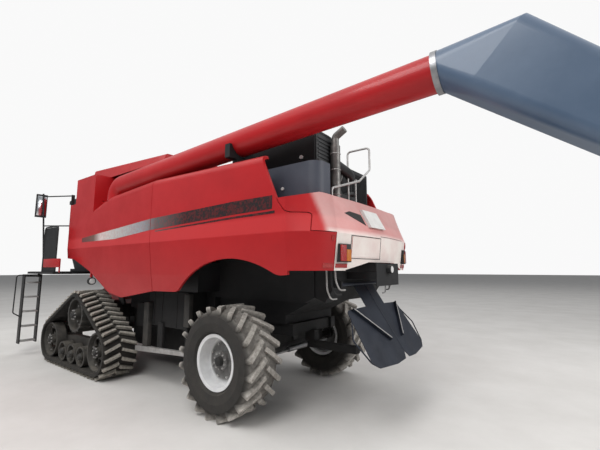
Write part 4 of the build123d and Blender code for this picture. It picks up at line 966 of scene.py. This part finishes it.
for k in range(SLATS):
    z = 3.50 + SLAT_STEP * k
    add_box(deck_black, (-5.032, 0.47, z), (-5.018, 0.83, z + 0.028), 0.003)
for z in (3.70, 3.02):
    add_box(deck_black, (-4.716, -1.32, z), (-4.70, -0.71, z + 0.05), 0.003)
for k in range(GRILLE_BARS):
    y = BAR_STEP * k
    add_box(deck_black, (-4.712, -0.75 - y, 3.09), (-4.70, -0.762 - y, 3.68))
new_piece("deck_parts", deck_black, black_paint)
for x, y, high in STEMS:
    add_bar(deck_steel, (x, y, DECK_TOP), (x, y, high), 0.014)
    add_bar(deck_steel, (x, y, high - 0.05), (x, y, high), 0.026)
for z in (3.05, 3.42, 3.66):
    add_ring(deck_steel, (-5.095, 0.48, z), (0, 0, 1), 0.074, 0.006)
new_piece("deck_steel", deck_steel, worn_steel)
print("engine deck done")

# %% [markdown]
# Between the track and the rear wheel hangs a dark locker on the body's side, with two grey posts and a
# pale step bar below. A thin black sheet near the body's middle is painted shade under the body. They
# could be bent from flat sheets, as on the machine, but softened blocks look the same from outside. Each
# one reaches the sheet that carries it.

# %% Locker, posts and step bar
LOCKER_BLOCKS_AND_SHADE_SHEET = (
    ((-2.62, 0.755, 0.98), (-1.42, 1.120, 1.60), 0.012),
    ((-1.30, 0.755, 0.90), (-0.90, 1.060, 1.34), 0.012),
    # A thin black sheet by the body's middle: painted shade under the body.
    ((-2.00, 0.588, 0.42), (0.00, 0.615, 1.10), 0.004),
    ((-1.95, 1.110, 0.600), (-1.80, 1.160, 1.05), 0.004),
    ((-2.66, 1.110, 0.620), (-2.60, 1.160, 1.10), 0.004),
)
LOCKER_RIBS = (-2.30, -1.86, -1.62)
STEP_BAR = ((-1.19, 0.503), (-1.19, 0.592), (-2.68, 0.667), (-2.68, 0.600))
locker_and_shade_sheet, posts, bars = bmesh.new(), bmesh.new(), bmesh.new()


def add_mirrored(made, low, high, soft=0.0):
    """A block on the left and the same block on the right."""
    for side in SIDES:
        near, far = sorted((side * low[1], side * high[1]))
        add_box(made, (low[0], near, low[2]), (high[0], far, high[2]), soft)


for low, high, soft in LOCKER_BLOCKS_AND_SHADE_SHEET:
    add_mirrored(locker_and_shade_sheet, low, high, soft)
for x in LOCKER_RIBS:
    add_mirrored(locker_and_shade_sheet, (x - 0.008, 1.118, 1.00), (x + 0.008, 1.126, 1.58))
add_mirrored(posts, (-1.55, 1.118, 0.560), (-1.39, 1.200, 1.39), 0.010)
add_mirrored(posts, (-2.74, 1.118, 1.050), (-2.60, 1.200, 1.58), 0.010)
for side in SIDES:
    add_plate(bars, [(x, side * 1.16, z) for x, z in STEP_BAR], (0, side * 0.06, 0))
new_piece("side_locker_and_shade_sheet", locker_and_shade_sheet, shade_black)
new_piece("side_posts", posts, track_grey)
new_piece("step_bars", bars, worn_steel)
print("locker, posts and step bars done")

# %% [markdown]
# The cab carries what a driver would miss: roof lamps, a beacon, a wiper and the door's handle. Numbers
# alone could place them, but each is cast onto the sheet or glass behind it, and so sits on the cab.

# %% Cab fittings
ROOF_LAMPS = (-0.74, -0.46, 0.46, 0.74)
BEFORE_CAB = 3.6
BEACON_X, BEACON_Y = 1.55, 0.72
WIPER_FOOT, WIPER_TIP, WIPER_OFF = (0.10, 2.30), (0.42, 3.10), 0.020
HANDLE_X = 2.05
cab_lenses, cab_fittings, beacon, handle = bmesh.new(), bmesh.new(), bmesh.new(), bmesh.new()
for y in ROOF_LAMPS:
    front = cast_on("cab_shell", (BEFORE_CAB, y, 3.795), (-1, 0, 0)).x - AXLE_X
    add_box(cab_fittings, (front - 0.02, y - 0.085, 3.750), (front + 0.022, y + 0.085, 3.840), 0.006)
    add_box(cab_lenses, (front + 0.018, y - 0.075, 3.760), (front + 0.030, y + 0.075, 3.830), 0.005)

roof = cast_on("cab_shell", (BEACON_X, BEACON_Y, 4.3), (0, 0, -1)).z
for made, low, high, radius, last in (
    (cab_fittings, -0.01, 0.03, 0.060, 0.060), (beacon, 0.03, 0.12, 0.052, 0.044),
    (beacon, 0.12, 0.14, 0.044, 0.020),
):
    add_bar(made, (BEACON_X, BEACON_Y, roof + low), (BEACON_X, BEACON_Y, roof + high), radius, 24, last)

wiper_low, wiper_high = (
    Vector((cast_on("cab_glass", (BEFORE_CAB, y, z), (-1, 0, 0)).x - AXLE_X + WIPER_OFF, y, z))
    for y, z in (WIPER_FOOT, WIPER_TIP)
)
add_bar(cab_fittings, wiper_low, wiper_high, 0.009, 10)
add_bar(cab_fittings, wiper_low - Vector((0.03, 0, 0)), wiper_low + Vector((0.012, 0, 0)), 0.022, 16)
for share in (0.55, 1.0):
    spot = wiper_low.lerp(wiper_high, share)
    add_bar(cab_fittings, (spot.x - 0.024, spot.y, spot.z), (spot.x + 0.006, spot.y, spot.z), 0.007, 8)

outside = cast_on("cab_door", (HANDLE_X, 1.4, 2.60), (0, -1, 0)).y
grip = ((-0.004, 2.50), (0.045, 2.50), (0.045, 2.72), (-0.004, 2.72))
add_pipe(handle, [(HANDLE_X, outside + reach, z) for reach, z in grip], 0.010, 0.02)
add_box(handle, (2.028, outside - 0.004, 2.42), (2.074, outside + 0.012, 2.48), 0.004)
new_piece("roof_lenses", cab_lenses, pale_lens)
new_piece("cab_fittings", cab_fittings, mirror_head)
new_piece("beacon", beacon, amber_lens)
new_piece("door_handle", handle, mirror_head, "door")
print("cab fittings done")

# %% [markdown]
# Behind, a few pipes run from under the hood to the straw outlet's side, and the chute's vanes have bright
# worn edges. These could be placed by eye, but the vane's lean and fold are known from the CAD.

# %% Tail pipes and vane edges
CHUTE_HINGE = (-5.27, 1.78)
CHUTE_LEAN, CHUTE_FOLD = math.radians(123.3), math.radians(3)
lean = Matrix.Rotation(CHUTE_LEAN, 3, "Y") @ Matrix.Rotation(CHUTE_FOLD, 3, "X")


def on_chute(side, along, out, up):
    """A point of the chute's wing: down from the hinge, out from the ridge, and off the sheet."""
    spot = lean @ Vector((along, out, up))
    return (spot.x + CHUTE_HINGE[0], side * spot.y, spot.z + CHUTE_HINGE[1])


tail_pipes, tail_cables, vane_edges = bmesh.new(), bmesh.new(), bmesh.new()
for side in SIDES:
    for made, x, drop in ((tail_pipes, -5.20, 1.60), (tail_cables, -5.27, 1.66), (tail_pipes, -5.33, 1.72)):
        run = ((0, 0.92, 2.06), (0.01, 0.92, drop + 0.12), (0.03, 0.86, drop), (0.04, 0.735, drop))
        add_pipe(made, [(x - back, side * y, z) for back, y, z in run], 0.011, 0.05, 10)
    add_bar(vane_edges, on_chute(side, 0.36, 0.690, -0.046), on_chute(side, 0.85, 0.200, -0.046), 0.007, 10)
new_piece("vane_edges", vane_edges, worn_steel, "chute")
new_piece("tail_pipes", tail_pipes, worn_steel)
new_piece("tail_cables", tail_cables, hose_rubber)
print("tail pipes done")

# %% [markdown]
# The floor is one large pale slab that takes the machine's shadow. A small plate would do that too, but
# its edge would show behind the wheels.

# %% Floor
FLOOR_HALF, FLOOR_Z = 150, -0.002
slab = bmesh.new()
bmesh.ops.create_grid(slab, x_segments=1, y_segments=1, size=FLOOR_HALF)
floor_mesh = bpy.data.meshes.new("floor")
slab.to_mesh(floor_mesh)
slab.free()
floor = bpy.data.objects.new("floor", floor_mesh)
floor.location.z = FLOOR_Z
bpy.context.scene.collection.objects.link(floor)
pale_floor = finish_of(
    "pale_floor", (0.64, 0.62, 0.595), (0.58, 0.56, 0.535), 0.8, 0.75, dusty=0.0, lying=0.0, bump=0.02
)
floor_mesh.materials.append(pale_floor)
print("floor at", FLOOR_Z)

# %% [markdown]
# The sky shows white to the camera and through glass, and a darker blue-white to what it lights. One
# white sky could do both, but it would lay a pale veil on the glossy paint.

# %% Sky
SHOWN_LIGHT, FILL_LIGHT = 0.95, 0.30
world = bpy.data.worlds.new("studio")
bpy.context.scene.world = world
world.use_nodes = True
sky = world.node_tree
shown = node(sky, "Background", Color=(1, 1, 1, 1), Strength=SHOWN_LIGHT)
lighting = node(sky, "Background", Color=(0.93, 0.96, 1.0, 1), Strength=FILL_LIGHT)
ways = sky.nodes.new("ShaderNodeLightPath")
seen = maths(sky, "MAXIMUM", ways.outputs["Is Camera Ray"], ways.outputs["Is Transmission Ray"])
choice = sky.nodes.new("ShaderNodeMixShader")
fill(sky, choice.inputs, (seen, lighting.outputs[0], shown.outputs[0]))
sky.links.new(choice.outputs[0], sky.nodes["World Output"].inputs["Surface"])
print("sky", world.name)

# %% [markdown]
# Four square lamps give soft, even light: a very large one overhead, one on the left, one behind and a
# weak one in front. A sun would draw hard shadows, which the photo doesn't have. The front lamp isn't
# mirrored in the paint, where it would bleach the red.

# %% Lamps
def soft_lamp(name, place_of_lamp, aim, size, power):
    """A square lamp that faces a point."""
    lamp = bpy.data.lights.new(name, "AREA")
    lamp.size = size
    lamp.energy = power
    made = bpy.data.objects.new(name, lamp)
    made.location = place_of_lamp
    made.rotation_euler = (Vector(aim) - Vector(place_of_lamp)).to_track_quat("-Z", "Y").to_euler()
    bpy.context.scene.collection.objects.link(made)
    return made


soft_lamp("key_lamp", at(-5.0, 8.0, 10.5), at(-2.0, 0, 1.5), 6.0, 760)
soft_lamp("rear_lamp", at(-14.0, -2.0, 6.0), at(-5.0, 0, 1.5), 6.0, 520)
soft_lamp("overhead_lamp", at(-2.0, 0.0, 24.0), at(-2.0, 0.01, 0.0), 60.0, 7600)
front_lamp = soft_lamp("front_lamp", at(7.0, 6.0, 7.0), at(0, 0, 1.5), 6.0, 300)
front_lamp.visible_glossy = False

# %% [markdown]
# The camera stands low beside the tail, as in the photo, and looks forward along the machine with a wide
# lens. An empty and a constraint could aim it, but two angles and a place can be fitted to the
# wheel, the track and the panel edges of the photo.

# %% Camera
YAW, PITCH = math.radians(-53.2), math.radians(7.15)
lens_view = bpy.data.cameras.new("camera")
lens_view.lens = 21.19
lens_view.sensor_width = 36.0
camera = bpy.data.objects.new("camera", lens_view)
camera.location = at(-7.684, 4.806, 1.986)
heading = Vector((math.cos(YAW) * math.cos(PITCH), math.sin(YAW) * math.cos(PITCH), math.sin(PITCH)))
camera.rotation_euler = heading.to_track_quat("-Z", "Y").to_euler()
bpy.context.scene.collection.objects.link(camera)
bpy.context.scene.camera = camera
bpy.context.scene.view_settings.view_transform = "Standard"
print("camera at", tuple(round(c, 3) for c in camera.location))

# %% [markdown]
